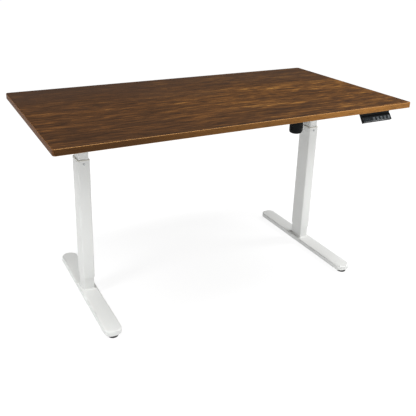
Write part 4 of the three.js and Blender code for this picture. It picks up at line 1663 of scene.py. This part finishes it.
# %% Spindles, nuts and guides
def add_spindle(side):
    middle, size, low, high = span(f"{side}_spindle")
    radius, plain = size.x / 2, 40 * MM
    place = at(middle.x, middle.y)
    bm = threaded_rod(bmesh.new(), radius, 1 * MM, 8 * MM, low.z, high.z - plain, place, 18, 8)
    journal = [(0, high.z - plain), (0, high.z - 1 * MM), (1 * MM, high.z)]
    loft(bm, disc(radius - 0.2 * MM, 32), journal, matrix=place)
    add_piece(f"{side}_lead_screw", bm, steel, f"{side}_spindle", [f"{side}_spindle"])


def add_turned_ring(name, node, wall, ridges, finish):
    """A turned ring about Z, with a shallow groove at each of the given shares of its height."""
    middle, size, low, high = span(node)
    chamfer = 0.5 * MM
    profile = [(0, low.z + chamfer)]
    for share in ridges:
        z = low.z + (high.z - low.z) * share
        profile += [(0, z - 0.8 * MM), (0.6 * MM, z - 0.3 * MM), (0.6 * MM, z + 0.3 * MM), (0, z + 0.8 * MM)]
    profile += [
        (0, high.z - chamfer), (chamfer, high.z), (wall - chamfer, high.z), (wall, high.z - chamfer),
        (wall, low.z + chamfer), (wall - chamfer, low.z), (chamfer, low.z),
    ]
    bm = loft(bmesh.new(), disc(size.x / 2, 40), profile, hollow=True, matrix=at(middle.x, middle.y))
    add_piece(name, bm, finish, "base", [node])


def add_bored_plate(name, node, hole, finish, body):
    """A plate that fills the tube's bore, with a round hole in the middle."""
    middle, size, low, high = span(node)
    edge = 0.4 * MM
    profile = [(edge, low.z), (0, low.z + edge), (0, high.z - edge), (edge, high.z)]
    place = at(middle.x, middle.y)
    bm = loft(bmesh.new(), oblong(size.x, size.y, 3 * MM, 5), profile, matrix=place)
    drill = loft(bmesh.new(), disc(hole, 40), [(0, low.z - 5 * MM), (0, high.z + 5 * MM)], matrix=place)
    add_piece(name, carve(bm, drill), finish, body, [node])


for side in SIDES:
    add_spindle(side)
    add_turned_ring(
        f"{side}_lead_nut", f"{side}_spindle_nut", 7.6 * MM, (0.3, 0.5, 0.7), acetal
    )
    add_turned_ring(f"{side}_nut_pillar", f"{side}_nut_tube", 3 * MM, (0.02, 0.98), steel)
    add_bored_plate(
        f"{side}_column_floor", f"{side}_base_plate", 7 * MM, steel, "base"
    )
    add_bored_plate(
        f"{side}_foot_guide", f"{side}_lower_guide", 15.6 * MM, acetal, "lift"
    )
print("column interiors ready")

# %% [markdown]
# Two screws hold the handset's flange to the board from below.

# %% Handset screws
def add_handset_screws():
    middle, _, _, high = span("handset_case")
    bm = bmesh.new()
    for side in (-1, 1):
        under = facing_down(middle.x + side * 55 * MM, high.y - 9 * MM, high.z - 3.5 * MM)
        socket_screw(bm, under, 3.6 * MM, 2 * MM, True, 2 * MM)
    add_piece("handset_screws", bm, steel, "lift")


add_handset_screws()
print("pieces:", len(PIECES))
